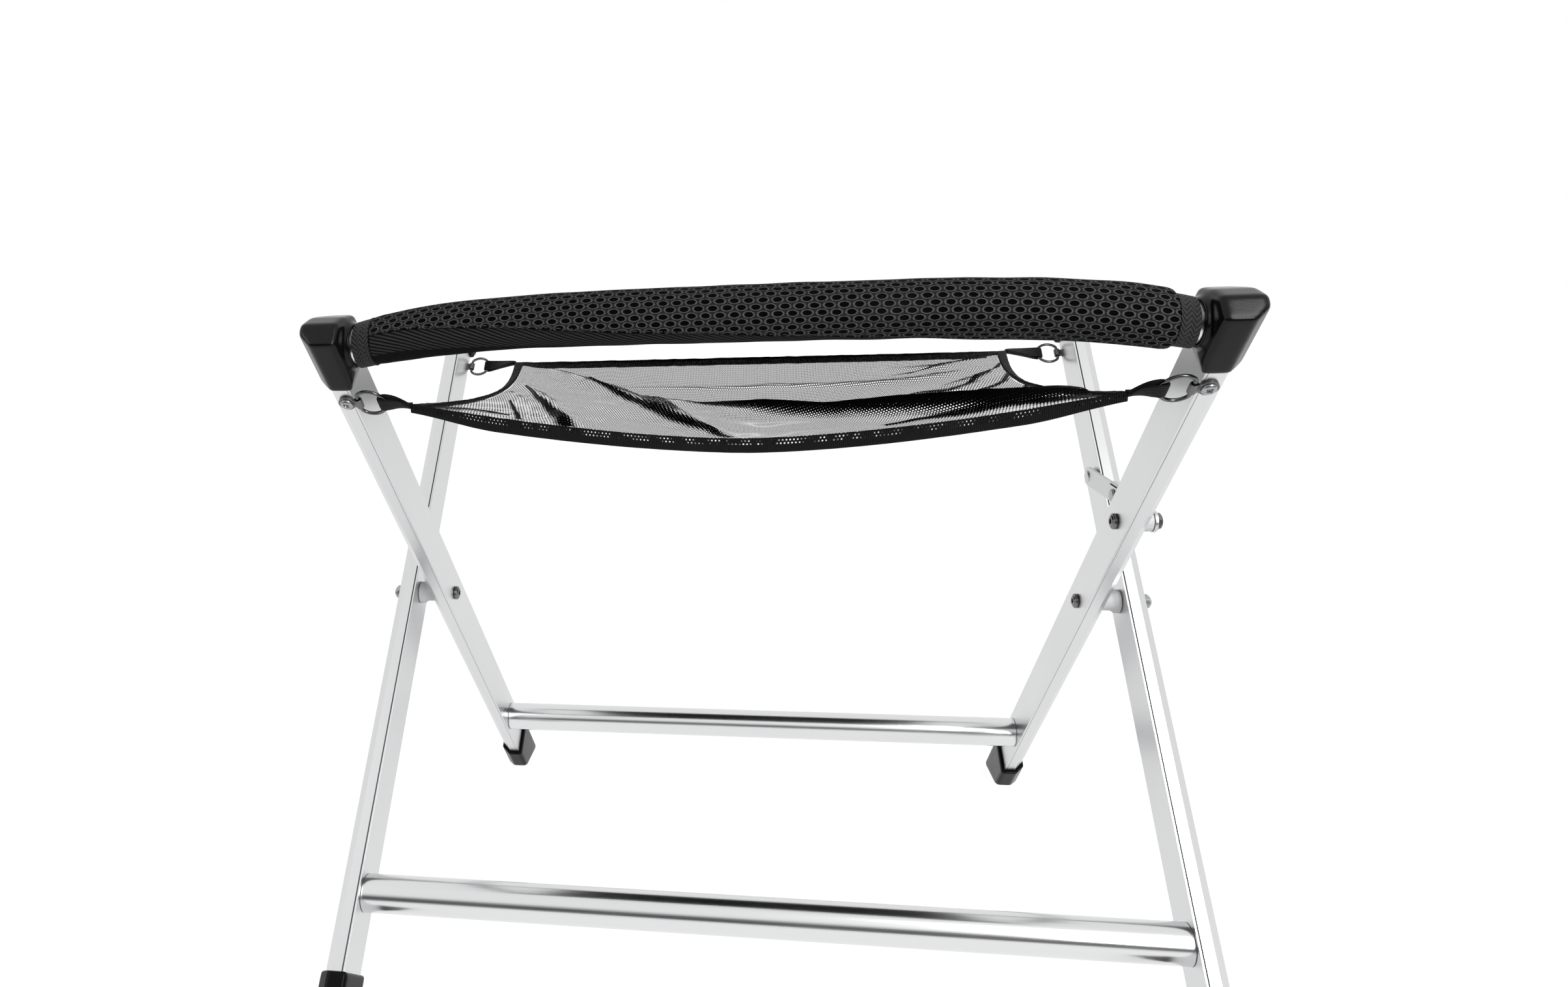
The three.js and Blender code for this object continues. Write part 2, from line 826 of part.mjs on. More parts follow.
const lowerPivot = new THREE.Vector3( 0, - lockLowerReach * sine, pivotHeight + lockLowerReach * cosine );
const upperPivot = new THREE.Vector3( 0, lockUpperReach * sine, pivotHeight + lockUpperReach * cosine );
const stayLength = lowerPivot.distanceTo( upperPivot );
const stayTilt = Math.atan2( upperPivot.z - lowerPivot.z, upperPivot.y - lowerPivot.y );
const lowerLength = stayLength * knuckleShare;
const upperLength = stayLength - lowerLength;
const linkGap = 0.4;
const upperLinkX = outerFace - gap - rivetHeadHeight - gap - linkThickness; // its inboard face
const lowerLinkX = upperLinkX - linkGap - linkThickness;

// Plan of a link with round ends, from its pivot at the origin to y = reach
function linkPlan( reach, extra = [] ) {

	const start = Math.min( 0, reach );
	const end = Math.max( 0, reach );
	const half = ( centre, from ) => Array.from( { length: linkSides / 2 + 1 }, ( _, i ) => {

		const turn = from + Math.PI * i / ( linkSides / 2 );
		return [ centre + linkRadius * Math.cos( turn ), linkRadius * Math.sin( turn ) ];

	} );
	return outline( [ ...half( end, - Math.PI / 2 ), ...half( start, Math.PI / 2 ), ...extra ] );

}

function lowerLink() {

	const far = lowerLinkX + linkThickness;
	const middle = lowerLength - lobeInset;
	const lobe = lobeShares.map( ( [ along, down ] ) =>
		[ middle + along * lobeWidth, - linkRadius - down * lobeDrop ] );
	const plate = prismX( holed(
		linkPlan( lowerLength, lobe ),
		roundPath( 0, 0, boltDiameter / 2 + gap, boreSides ),
		roundPath( lowerLength, 0, rivetRadius + gap, boreSides ),
		roundPath( middle, - linkRadius - lobeDrop / 2, lobeHoleRadius, portSides ),
	), lowerLinkX, far );
	const lipBottom = linkRadius + linkGap;
	const lip = outline( [
		[ lowerLength - lipReach, lipBottom ],
		[ lowerLength + lipReach, lipBottom ],
		[ lowerLength + lipReach, lipBottom + lipThickness ],
		[ lowerLength - lipReach, lipBottom + lipThickness ],
	] );
	const riser = outline( [
		[ lowerLength - lipReach, 0 ],
		[ lowerLength + lipReach * riserShare, 0 ],
		[ lowerLength + lipReach, lipBottom ],
		[ lowerLength + lipReach, lipBottom + lipThickness ],
		[ lowerLength - lipReach, lipBottom + lipThickness ],
	] );
	const rivetHole = rodX( rivetRadius + gap, lowerLinkX - overrun, far + overrun, lowerLength, 0 );
	return cut(
		join( plate, prismX( riser, lowerLinkX, far ), prismX( lip, lowerLinkX, upperLinkX + linkThickness ) ),
		rivetHole
	);

}

// The stay's rivet at the outer leg is drawn in two, with a running gap: its head on the link,
// and its collar and tail in the leg.
function upperLink() {

	const face = upperLinkX + linkThickness;
	const plate = prismX( holed(
		linkPlan( - upperLength ),
		roundPath( - upperLength, 0, rivetRadius + gap, boreSides ),
	), upperLinkX, face );
	return join( plate, rodX( rivetHeadRadius, upperLinkX - rivetHeadHeight, face, 0, 0 ) );

}

function knuckleRivet() {

	const head = lowerLinkX - gap;
	const tail = upperLinkX + linkThickness + gap;
	return turnedX( [
		[ 0, head - rivetHeadHeight ],
		[ rivetHeadRadius * headCrownShare, head - rivetHeadHeight ],
		[ rivetHeadRadius, head - rivetHeadHeight / 2 ],
		[ rivetHeadRadius, head ],
		[ rivetRadius, head ],
		[ rivetRadius, tail ],
		[ rivetHeadRadius, tail ],
		[ rivetHeadRadius, tail + rivetHeadHeight / 2 ],
		[ rivetHeadRadius * headCrownShare, tail + rivetHeadHeight ],
		[ 0, tail + rivetHeadHeight ],
	], 1, lowerLength, 0, boreSides );

}

function upperRivet() {

	const collarFace = upperLinkX + linkThickness + gap;
	const tail = outerFace + legWall + gap;
	return turnedX( [
		[ 0, collarFace ],
		[ rivetHeadRadius, collarFace ],
		[ rivetHeadRadius, outerFace - gap ],
		[ rivetRadius, outerFace - gap ],
		[ rivetRadius, tail ],
		[ rivetHeadRadius * rivetTailShare, tail ],
		[ rivetHeadRadius * rivetTailShare, tail + rivetTail ],
		[ 0, tail + rivetTail ],
	], 1, 0, 0, boreSides );

}

function stayBush() {

	const start = innerFace + legDepth + gap;
	const end = lowerLinkX - gap;
	const bore = boltDiameter / 2 + gap;
	return turnedX( [
		[ bore, start ],
		[ bushRadius, start ],
		[ bushRadius, end ],
		[ bore, end ],
		[ bore, start ],
	], 1, 0, 0, boreSides );

}

function lockStay() {

	const lower = new THREE.Group();
	lower.position.copy( lowerPivot );
	lower.rotation.x = stayTilt;
	const nutSeat = lowerLinkX + linkThickness + gap;
	lower.add(
		piece( 'stay_lower_link', lowerLink(), 'aluminium' ),
		piece( 'stay_knuckle_rivet', knuckleRivet(), 'zincSteel' ),
		piece( 'stay_bolt', socketBolt( 1, innerFace - gap, nutSeat + thinNutThickness, 0, 0 ), 'darkSteel' ),
		piece( 'stay_bush', stayBush(), 'bushing' ),
		piece( 'stay_nut', hexNut( 1, nutSeat, thinNutThickness, 0, 0 ), 'zincSteel' ),
	);
	const upper = new THREE.Group();
	upper.position.copy( upperPivot );
	upper.rotation.x = stayTilt;
	upper.add(
		piece( 'stay_upper_link', upperLink(), 'aluminium' ),
		piece( 'stay_rivet', upperRivet(), 'zincSteel' ),
	);
	const group = new THREE.Group();
	group.add( lower, upper );
	return group;

}

// Sling seat: one padded panel with a sleeve over each rail. Its middle follows the arched
// rails, its sides are drawn in between them, and each sleeve rounds off at its ends.

const padThickness = 8; // between the rails
const sleeveRadius = 15.5; // over the pad, about the rail's axis
const padEndRadius = 14;
const slingSag = 4; // of the panel's middle below the sleeves' tops
const sideDraw = 9; // of each side edge between the rails
const sleeveSides = 9; // facets round the outside of a sleeve
const panelSpans = 5;

function seatSection() {

	const top = sleeveRadius;
	const under = sleeveRadius - padThickness;
	const meet = Math.asin( under / sleeveRadius );
	const arc = ( centre, from, to ) => Array.from( { length: sleeveSides + 1 }, ( _, i ) => {

		const turn = THREE.MathUtils.lerp( from, to, i / sleeveSides );
		return [ centre + sleeveRadius * Math.cos( turn ), sleeveRadius * Math.sin( turn ) ];

	} );
	const sleeves = railY - sleeveRadius;
	const line = ( way, height ) => Array.from( { length: panelSpans + 1 }, ( _, i ) =>
		[ way * THREE.MathUtils.lerp( - sleeves, sleeves, i / panelSpans ), height ] );
	return holed(
		outline( [
			...arc( railY, Math.PI / 2, meet - Math.PI ),
			...line( - 1, under ),
			...arc( - railY, meet, - 3 * Math.PI / 2 ),
			...line( 1, top ),
		] ),
		roundPath( railY, 0, railRadius + softGap, tubeSides ),
		roundPath( - railY, 0, railRadius + softGap, tubeSides )
	);

}

function seat() {

	const shrink = padEndRadius / sleeveRadius;
	const sleeves = railY - sleeveRadius;
	return alongStations( seatSection(), padStations, ( point ) => {

		const across = THREE.MathUtils.clamp( point.y / sleeves, - 1, 1 );
		const middle = 1 - across ** 2;
		const nearRise = nearPlan.rise( point.x );
		const farRise = farPlan.rise( point.x );
		const share = ( 1 + across ) / 2;
		const centre = Math.sign( point.y ) * railY;
		const offset = point.y - centre;
		const outside = Math.hypot( offset, point.z ) > railRadius + 2 * softGap;
		if ( outside && Math.abs( point.x ) === padEnd ) {

			point.z *= shrink;
			if ( Math.abs( across ) === 1 ) point.y = centre + offset * shrink;

		}

		point.x *= 1 - middle * sideDraw / padEnd;
		point.y += THREE.MathUtils.lerp( - nearRise, farRise, share ) * sine;
		point.z += railZ + THREE.MathUtils.lerp( nearRise, farRise, share ) * cosine - middle * slingSag;

	} );

}

// Skins a row of closed loops. Each loop is a row of upper points and a row of lower points.

function skin( loops ) {

	const count = loops[ 0 ].upper.length;
	const points = loops.flatMap( ( { upper, lower } ) => [ ...upper, ...lower ] );
	const index = [];
	const quad = ( a, b, c, d ) => index.push( a, b, c, a, c, d );
	const at = ( loop, row, i ) => ( 2 * loop + row ) * count + i;
	for ( let l = 0; l + 1 < loops.length; l ++ ) {

		for ( let i = 0; i + 1 < count; i ++ ) {

			quad( at( l, 0, i ), at( l + 1, 0, i ), at( l + 1, 0, i + 1 ), at( l, 0, i + 1 ) );
			quad( at( l, 1, i ), at( l, 1, i + 1 ), at( l + 1, 1, i + 1 ), at( l + 1, 1, i ) );

		}

		quad( at( l, 0, 0 ), at( l, 1, 0 ), at( l + 1, 1, 0 ), at( l + 1, 0, 0 ) );
		const last = count - 1;
		quad( at( l, 0, last ), at( l + 1, 0, last ), at( l + 1, 1, last ), at( l, 1, last ) );

	}

	for ( const [ loop, turn ] of [ [ 0, false ], [ loops.length - 1, true ] ] ) {

		for ( let i = 0; i + 1 < count; i ++ ) {

			const corners = [ at( loop, 0, i ), at( loop, 0, i + 1 ), at( loop, 1, i + 1 ), at( loop, 1, i ) ];
			quad( ...( turn ? corners.reverse() : corners ) );

		}

	}

	const geometry = new THREE.BufferGeometry();
	geometry.setAttribute( 'position', new THREE.Float32BufferAttribute(
		points.flatMap( ( point ) => [ point.x, point.y, point.z ] ), 3
	) );
	geometry.setIndex( index );
	return geometry;

}

// Storage net. Across it u runs from -1 at the left to 1, and v from 0 in front to 1 behind.

const netNearInset = 31; // of its front corners, from the inner legs
const netFarInset = 51; // of its back corners, from the outer legs
const netNearBack = 11.8; // of its front corners, behind the near rings
const netNearFall = 3.3; // and below them
const netFarFront = 26.8; // of its back corners, before the far rings
const netFarLift = 3.7; // and above them
const netSideHollow = 15; // of each side edge, towards the middle
const netSideSag = 9;
const netNearBow = 22; // of the front edge's middle, backwards
const netNearDrop = 26; // of the front edge's middle, below its corners
const dropAcrossPower = 1.7; // how the drop fades towards the corners
const dropBackPower = 1.5; // and towards the back edge
const netBelly = 8;
const netThickness = 1.2;
const netFoldHeight = 6;
const netColumns = 30;
const netRows = 10;
const hemThickness = 2.2;
const nearHemHeight = 9;
const farHemWidth = 7;
const sideHemWidth = 7;
const hemTipShare = 0.45; // of the front hem's height, left at its corners
const hemTipReachShare = 0.25; // of its half length, where it narrows

const ringReachY = lugScrewReach * sine - lugY * cosine; // from the middle, both ways
const ringHeight = pivotHeight + lugScrewReach * cosine + lugY * sine;
const netNearHalf = innerFace - netNearInset;
const netFarHalf = outerFace - netFarInset;
const netNearY = netNearBack - ringReachY;
const netFarY = ringReachY - netFarFront;
const netNearZ = ringHeight - netNearFall;
const netFarZ = ringHeight + netFarLift;

// Main folds: where each crosses the net (u, v), the way it runs, and its width, as shares
const netFoldShares = [
	{ u: - 0.42, v: 0.36, run: - 0.75, width: 0.09, height: 1 },
	{ u: 0.22, v: 0.42, run: 0.1, width: 0.07, height: 0.9 },
	{ u: 0.62, v: 0.3, run: 0.35, width: 0.08, height: 0.8 },
	{ u: - 0.7, v: 0.3, run: - 0.9, width: 0.06, height: 0.5 },
];
const foldReachShare = 0.45; // half length of a fold
const foldSlantShare = 0.5; // of its run, seen across the net

function netFolds( u, v ) {

	return netFoldShares.reduce( ( sum, fold ) => {

		const length = Math.hypot( 1, fold.run );
		const across = ( ( v - fold.v ) - fold.run * ( u - fold.u ) * foldSlantShare ) / length;
		const along = ( ( u - fold.u ) + fold.run * ( v - fold.v ) ) / length;
		const swell = Math.exp( - ( ( across / fold.width ) ** 2 ) - ( along / foldReachShare ) ** 2 );
		return sum + fold.height * swell;

	}, 0 ) * Math.sin( Math.PI * v ) * ( 1 - u * u );

}

function netPoint( u, v ) {

	const middle = 1 - u * u;
	const trough = Math.sin( Math.PI * v );
	const half = THREE.MathUtils.lerp( netNearHalf, netFarHalf, v ) - netSideHollow * trough;
	const near = netNearY + netNearBow * middle;
	const drop = netNearDrop * ( 1 - Math.abs( u ) ** dropAcrossPower ) * ( 1 - v ) ** dropBackPower;
	return new THREE.Vector3(
		u * half,
		THREE.MathUtils.lerp( near, netFarY, v ),
		THREE.MathUtils.lerp( netNearZ, netFarZ, v ) - drop - netSideSag * trough
			- netBelly * trough * middle + netFoldHeight * netFolds( u, v )
	);

}

const spread = ( from, to, count ) => Array.from( { length: count + 1 }, ( _, i ) =>
	THREE.MathUtils.lerp( from, to, i / count ) );

const lowered = ( point, by ) => new THREE.Vector3( point.x, point.y, point.z - by );

// A piece of the net's surface with a thickness, between the given u and v
function netPatch( us, vs, thickness, lift ) {

	return skin( us.map( ( u ) => {

		const upper = vs.map( ( v ) => lowered( netPoint( u, v ), - lift ) );
		return { upper, lower: upper.map( ( point ) => lowered( point, thickness ) ) };

	} ) );

}

function storageNet() {

	const sideShare = ( sideHemWidth + gap ) / netNearHalf;
	const farShare = ( farHemWidth + gap ) / ( netFarY - netNearY );
	const group = new THREE.Group();
	const us = spread( - 1 + sideShare, 1 - sideShare, netColumns );
	const nearV = gap / ( netFarY - netNearY );
	const mesh = netPatch( us, spread( nearV, 1 - farShare, netRows ), netThickness, netThickness / 2 );
	const acrossAll = spread( - 1, 1, netColumns );
	const farV = 1 - farHemWidth / ( netFarY - netNearY );
	const farHem = netPatch( acrossAll, spread( farV, 1, 1 ), hemThickness, hemThickness / 2 );
	const nearHem = skin( acrossAll.map( ( u ) => {

		const edge = lowered( netPoint( u, 0 ), - hemThickness / 2 );
		const grown = Math.min( 1, ( 1 - Math.abs( u ) ) / hemTipReachShare );
		const taper = THREE.MathUtils.lerp( hemTipShare, 1, grown );
		const foot = lowered( edge, nearHemHeight * taper );
		const back = new THREE.Vector3( 0, - hemThickness, 0 );
		return { upper: [ edge.clone().add( back ), edge ], lower: [ foot.clone().add( back ), foot ] };

	} ) );
	group.add(
		piece( 'storage_net', mesh, 'netting' ),
		piece( 'net_far_hem', farHem, 'webbing' ),
		piece( 'net_near_hem', nearHem, 'webbing' ),
	);
	for ( const [ side, sideName ] of [ [ - 1, 'left' ], [ 1, 'right' ] ] ) {

		const edges = between( side, 1 - sideHemWidth / netNearHalf, 1 );
		const hem = netPatch( edges, spread( nearV, farV - nearV, netRows ), hemThickness, hemThickness / 2 );
		group.add( piece( `net_side_hem_${ sideName }`, hem, 'webbing' ) );

	}

	return group;

}

// Straps: a folded tape from each corner of the net, looped through its D-ring

const strapThickness = 1.5;
const strapWidth = 9;
const strapEndWidth = 7;
const strapLead = 4.5; // run of the tape square to the ring and to the net, at its ends
const strapSteps = 5;
const strapTurns = 5;
const strapSewn = 0.55; // share of the tape's length beyond which its two layers are one

function strap( { ringPoint, cornerPoint, inwards, legwise, netwise } ) {

	const end = cornerPoint.clone().addScaledVector( inwards, - gap );
	const route = new THREE.CubicBezierCurve3(
		ringPoint, ringPoint.clone().addScaledVector( inwards, strapLead ),
		end.clone().addScaledVector( inwards, - strapLead ), end
	);
	const bore = wireRadius + softGap;
	const station = ( share, along, up ) => {

		const tangent = route.getTangent( share );
		const across = legwise.clone().lerp( netwise, share );
		across.addScaledVector( tangent, - across.dot( tangent ) ).normalize();
		const lift = new THREE.Vector3().crossVectors( tangent, across );
		const half = THREE.MathUtils.lerp( strapWidth, strapEndWidth, share ) / 2;
		const middle = route.getPoint( share ).addScaledVector( tangent, along ).addScaledVector( lift, up );
		return [ middle.clone().addScaledVector( across, - half ), middle.addScaledVector( across, half ) ];

	};

	// The wire curves back towards the leg at the tape's edges, so the loop's back lies behind it.
	const backset = ringRadius - Math.sqrt( ringRadius ** 2 - ( strapWidth / 2 ) ** 2 );
	const layer = ( up ) => spread( 0, 1, strapSteps ).map( ( share ) => {

		const inside = THREE.MathUtils.lerp( bore, gap / 2, Math.min( 1, share / strapSewn ) );
		return {
			upper: station( share, 0, up * ( inside + strapThickness ) ),
			lower: station( share, 0, up * inside ),
		};

	} );
	const bend = spread( Math.PI / 2, 3 * Math.PI / 2, strapTurns ).map( ( turn ) => {

		const outside = bore + strapThickness;
		return {
			upper: station( 0, - backset + outside * Math.cos( turn ), outside * Math.sin( turn ) ),
			lower: station( 0, - backset + bore * Math.cos( turn ), bore * Math.sin( turn ) ),
		};

	} );
	return skin( [ ...layer( 1 ).reverse(), ...bend, ...layer( - 1 ) ] );

}

// Assembly

const stool = new THREE.Group();
const innerFrame = new THREE.Group();
innerFrame.position.z = pivotHeight;
innerFrame.rotation.x = openHalfAngle;
innerFrame.add( legFrame( {
	label: 'inner', end: 'near', face: innerFace, left: 'left', right: 'right',
	stayReach: { at: lockLowerReach, radius: boltDiameter / 2 + gap },
} ) );

const outerFrame = new THREE.Group();
outerFrame.position.z = pivotHeight;
outerFrame.rotation.x = - openHalfAngle;
const turnedFrame = legFrame( {
	label: 'outer', end: 'far', face: outerFace, left: 'right', right: 'left',
	stayReach: { at: lockUpperReach, radius: rivetRadius + gap, to: outerFace + legWall + overrun },
} );
turnedFrame.rotation.z = Math.PI;
outerFrame.add( turnedFrame );

stool.add( innerFrame, outerFrame, pivots(), lockStay() );
stool.add( piece( 'sling_seat', seat(), 'spacerMesh' ), storageNet() );

for ( const [ end, frame, face, turn, v ] of [
	[ 'near', innerFrame, innerFace, 1, 0 ],
	[ 'far', outerFrame, outerFace, - 1, 1 ],
] ) {

	frame.updateMatrixWorld( true );
	const legwise = new THREE.Vector3( 0, 0, 1 ).transformDirection( frame.matrixWorld );
	for ( const [ side, sideName ] of [ [ - 1, 'left' ], [ 1, 'right' ] ] ) {

		const ringX = side * ( face - lugOverhang - ringBarInset - ringRadius );
		const tape = strap( {
			ringPoint: frame.localToWorld( new THREE.Vector3( ringX, turn * lugY, lugScrewReach ) ),
			cornerPoint: netPoint( side, v ),
			inwards: new THREE.Vector3( - side, 0, 0 ),
			legwise,
			netwise: new THREE.Vector3( 0, - turn, 0 ),
		} );
		stool.add( piece( `${ end }_strap_${ sideName }`, tape, 'webbing' ) );

	}

}

stool.updateMatrixWorld( true );

export default stool;
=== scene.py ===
# %% [markdown]
# # A folding footstool
# Two crossed leg frames of aluminium extrusion carry a padded mesh sling over two arched rails,
# and a net hangs below it on four D-rings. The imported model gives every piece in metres, in its
# place, so this script starts from it: it dresses the legs, draws the other rigid pieces again
# in a finer form, and sews the fabric over the plain solids.

# %% Load the frame
import json
import math

import bmesh
import bpy
from mathutils import Matrix, Vector, noise

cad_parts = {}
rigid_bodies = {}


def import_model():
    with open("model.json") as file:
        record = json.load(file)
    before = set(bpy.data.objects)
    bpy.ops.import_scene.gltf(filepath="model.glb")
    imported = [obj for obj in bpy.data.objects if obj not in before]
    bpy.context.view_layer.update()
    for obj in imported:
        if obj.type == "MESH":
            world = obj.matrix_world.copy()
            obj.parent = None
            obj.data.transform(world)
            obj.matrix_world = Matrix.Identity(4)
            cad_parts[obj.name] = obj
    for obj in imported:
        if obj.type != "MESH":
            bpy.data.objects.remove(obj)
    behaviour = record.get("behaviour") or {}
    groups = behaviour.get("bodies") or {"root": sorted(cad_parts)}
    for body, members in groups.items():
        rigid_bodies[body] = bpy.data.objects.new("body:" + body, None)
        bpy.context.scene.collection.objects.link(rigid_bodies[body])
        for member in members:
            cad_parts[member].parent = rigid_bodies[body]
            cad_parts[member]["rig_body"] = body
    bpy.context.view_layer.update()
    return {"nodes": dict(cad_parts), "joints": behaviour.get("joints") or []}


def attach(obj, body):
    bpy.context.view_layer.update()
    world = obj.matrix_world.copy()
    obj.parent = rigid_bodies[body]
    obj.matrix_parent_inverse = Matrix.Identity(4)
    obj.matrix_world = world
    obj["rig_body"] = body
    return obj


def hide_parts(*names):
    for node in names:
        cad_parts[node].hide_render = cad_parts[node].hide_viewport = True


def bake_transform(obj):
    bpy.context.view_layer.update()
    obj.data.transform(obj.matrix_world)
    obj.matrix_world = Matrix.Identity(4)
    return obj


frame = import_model()
nodes = frame["nodes"]
print("pieces in the frame:", len(nodes))


def placed(name, data):
    """A new object in the scene."""
    made = bpy.data.objects.new(name, data)
    bpy.context.scene.collection.objects.link(made)
    return made


# %% [markdown]
# ## Where the camera stood
# The photograph was taken from just above seat height, close to the stool, looking slightly
# down. The place, the angles and the focal length were worked out from straight edges of the
# four legs. The picture's centre is not where the lens points, so a small sideways shift of
# the lens frames it as the photograph does.

# %% Camera
PICTURE_WIDTH, FOCAL_PIXELS, LENS_CENTRE = 2408, 1492.8, 929.5
SENSOR = 36.0

camera_data = bpy.data.cameras.new("photo_camera")
camera_data.sensor_width = SENSOR
camera_data.lens = FOCAL_PIXELS / PICTURE_WIDTH * SENSOR
camera_data.shift_x = (PICTURE_WIDTH / 2 - LENS_CENTRE) / PICTURE_WIDTH
camera_data.clip_start = 0.02
camera = placed("photo_camera", camera_data)

yaw, pitch, roll = (math.radians(angle) for angle in (-8.93, -10.97, -1.88))
ahead = Vector((math.sin(yaw) * math.cos(pitch), math.cos(yaw) * math.cos(pitch), math.sin(pitch)))
level_right = Vector((math.cos(yaw), -math.sin(yaw), 0))
level_up = level_right.cross(ahead)
right = math.cos(roll) * level_right + math.sin(roll) * level_up
up = math.cos(roll) * level_up - math.sin(roll) * level_right
turn = Matrix((right, up, -ahead)).transposed().to_4x4()
camera.matrix_world = Matrix.Translation((0.0031, -0.7149, 0.4627)) @ turn
bpy.context.scene.camera = camera
print(f"lens {camera_data.lens:.1f} mm, {-camera.location.y:.2f} m in front of the stool")

# %% [markdown]
# ## Shader maths as Python
# Weave, holes and brushed metal are patterns of numbers. Blender builds them from Math nodes,
# which are slow to read as a graph. A small class can wrap a socket and turn each Python
# operator into the node that does the sum, so that a pattern reads like its formula.

# %% The socket class
class Value:
    """A number or a vector that a socket gives, with Python's operators."""

    def __init__(self, tree, socket):
        self.tree = tree
        self.socket = socket

    def _math(self, operation, *others):
        node = self.tree.nodes.new("ShaderNodeMath")
        node.operation = operation
        for place, value in zip(node.inputs, (self, *others)):
            connect(self.tree, place, value)
        return Value(self.tree, node.outputs[0])

    def __rsub__(self, other):
        return self._math("MULTIPLY_ADD", -1.0, other)

    def step(self, low, high):
        """0 below low, 1 above high and a soft slope between."""
        node = self.tree.nodes.new("ShaderNodeMapRange")
        node.interpolation_type = "SMOOTHSTEP"
        connect(self.tree, node.inputs["Value"], self)
        connect(self.tree, node.inputs["From Min"], low)
        connect(self.tree, node.inputs["From Max"], high)
        return Value(self.tree, node.outputs["Result"])


def connect(tree, place, value):
    if isinstance(value, Value):
        tree.links.new(value.socket, place)
    elif isinstance(value, bpy.types.NodeSocket):
        tree.links.new(value, place)
    else:
        place.default_value = value


def from_operation(operation):
    return lambda self, *others: self._math(operation, *others)


for method, operation in {
    "__add__": "ADD", "__radd__": "ADD", "__sub__": "SUBTRACT", "__mul__": "MULTIPLY", "__rmul__": "MULTIPLY",
    "__truediv__": "DIVIDE", "fraction": "FRACT", "whole": "FLOOR", "size": "ABSOLUTE", "wave": "SINE",
    "root": "SQRT", "least": "MINIMUM", "most": "MAXIMUM",
}.items():
    setattr(Value, method, from_operation(operation))


# %% The finish class
class Finish:
    """A material made of one surface shader and the nodes that feed it."""

    def __init__(self, name):
        self.material = bpy.data.materials.new(name)
        self.material.use_nodes = True
        self.tree = self.material.node_tree
        self.surface = self.tree.nodes["Principled BSDF"]

    def node(self, kind, settings=None, **sockets):
        """Any node: its type, its settings, then the values or links of its sockets."""
        made = self.tree.nodes.new(kind)
        for name, value in (settings or {}).items():
            if name == "stops":
                for stop, (place, color) in zip(made.color_ramp.elements, value):
                    stop.position, stop.color = place, (*color, 1)
            else:
                setattr(made, name, value)
        for name, value in sockets.items():
            connect(self.tree, made.inputs[name.replace("_", " ")], value)
        return made

    def set(self, **sockets):
        for name, value in sockets.items():
            connect(self.tree, self.surface.inputs[name.replace("_", " ")], value)
        return self

    def place(self):
        """Where on the piece: x, y and z in metres, which move with it."""
        where = self.node("ShaderNodeTexCoord")
        split = self.node("ShaderNodeSeparateXYZ", Vector=where.outputs["Object"])
        return [Value(self.tree, output) for output in split.outputs]

    def cloth_place(self, map_name="cloth"):
        """Where on the cloth: metres across and along it, from its UV map."""
        where = self.node("ShaderNodeUVMap", {"uv_map": map_name})
        split = self.node("ShaderNodeSeparateXYZ", Vector=where.outputs["UV"])
        return [Value(self.tree, output) for output in split.outputs][:2]

    def cloud(self, size, detail=3.0, stretch=None):
        """Soft noise with lumps of a size in metres, drawn out where stretch says."""
        x, y, z = stretch or self.place()
        where = self.node("ShaderNodeCombineXYZ", X=x, Y=y, Z=z)
        cloud = self.node("ShaderNodeTexNoise", Vector=where.outputs[0], Scale=1 / size, Detail=detail)
        return Value(self.tree, cloud.outputs[0])

    def blend(self, share, first, second):
        mix = self.node("ShaderNodeMix", {"data_type": "RGBA"})
        connect(self.tree, mix.inputs[0], share)
        for place, color in ((mix.inputs[6], first), (mix.inputs[7], second)):
            connect(self.tree, place, color if not isinstance(color, tuple) else (*color, 1))
        return mix.outputs[2]

    def bump(self, height, distance, strength=1.0, normal=None):
        made = self.node("ShaderNodeBump", Height=height, Distance=distance, Strength=strength)
        if normal is not None:
            connect(self.tree, made.inputs["Normal"], normal)
        return made.outputs["Normal"]


# %% [markdown]
# ## Floor, background and light
# The stool was photographed on pure white. A bright lamp could wash the floor out to white, but
# it would also bleach the metal. Instead the floor and the world look white only to the camera
# and in reflections, while three soft lamps light the stool at a plain level. The room behind
# the camera was dark, so what the metal mirrors from that side is dark too.

# %% Floor
def ray_kinds(tree):
    """1 for camera rays, for rays through clear materials, and for mirrored rays."""
    path = tree.nodes.new("ShaderNodeLightPath")
    return [Value(tree, path.outputs[f"Is {kind} Ray"]) for kind in ("Camera", "Transmission", "Glossy")]


HALF_FLOOR = 12.0
DARK_FROM, DARK_AT = -0.50, -0.85  # where the floor in front of the stool turns dark in mirrors, in Y
floor_mesh = bpy.data.meshes.new("floor")
floor_mesh.from_pydata(
    [(x * HALF_FLOOR, y * HALF_FLOOR, 0) for x, y in ((-1, -1), (1, -1), (1, 1), (-1, 1))],
    [], [(0, 1, 2, 3)],
)
floor = placed("floor", floor_mesh)
floor.location.z = -0.0005

paper = Finish("white_floor")
seen, through, mirrored = ray_kinds(paper.tree)
unlit = paper.place()[1].step(DARK_FROM, DARK_AT) * mirrored
paper.set(Base_Color=paper.blend(unlit, (0.86, 0.86, 0.86), (0.06, 0.06, 0.06)), Roughness=0.9)
glow = paper.node("ShaderNodeEmission", Color=(1, 1, 1, 1), Strength=1.16)
mixed = paper.node("ShaderNodeMixShader")
connect(paper.tree, mixed.inputs[0], (seen.most(through) * 0.82 + mirrored * 0.74) * (1 - unlit))
connect(paper.tree, mixed.inputs[1], paper.surface.outputs[0])
connect(paper.tree, mixed.inputs[2], glow.outputs[0])
connect(paper.tree, paper.tree.nodes["Material Output"].inputs["Surface"], mixed.outputs[0])
floor_mesh.materials.append(paper.material)
print("floor side:", 2 * HALF_FLOOR, "m")

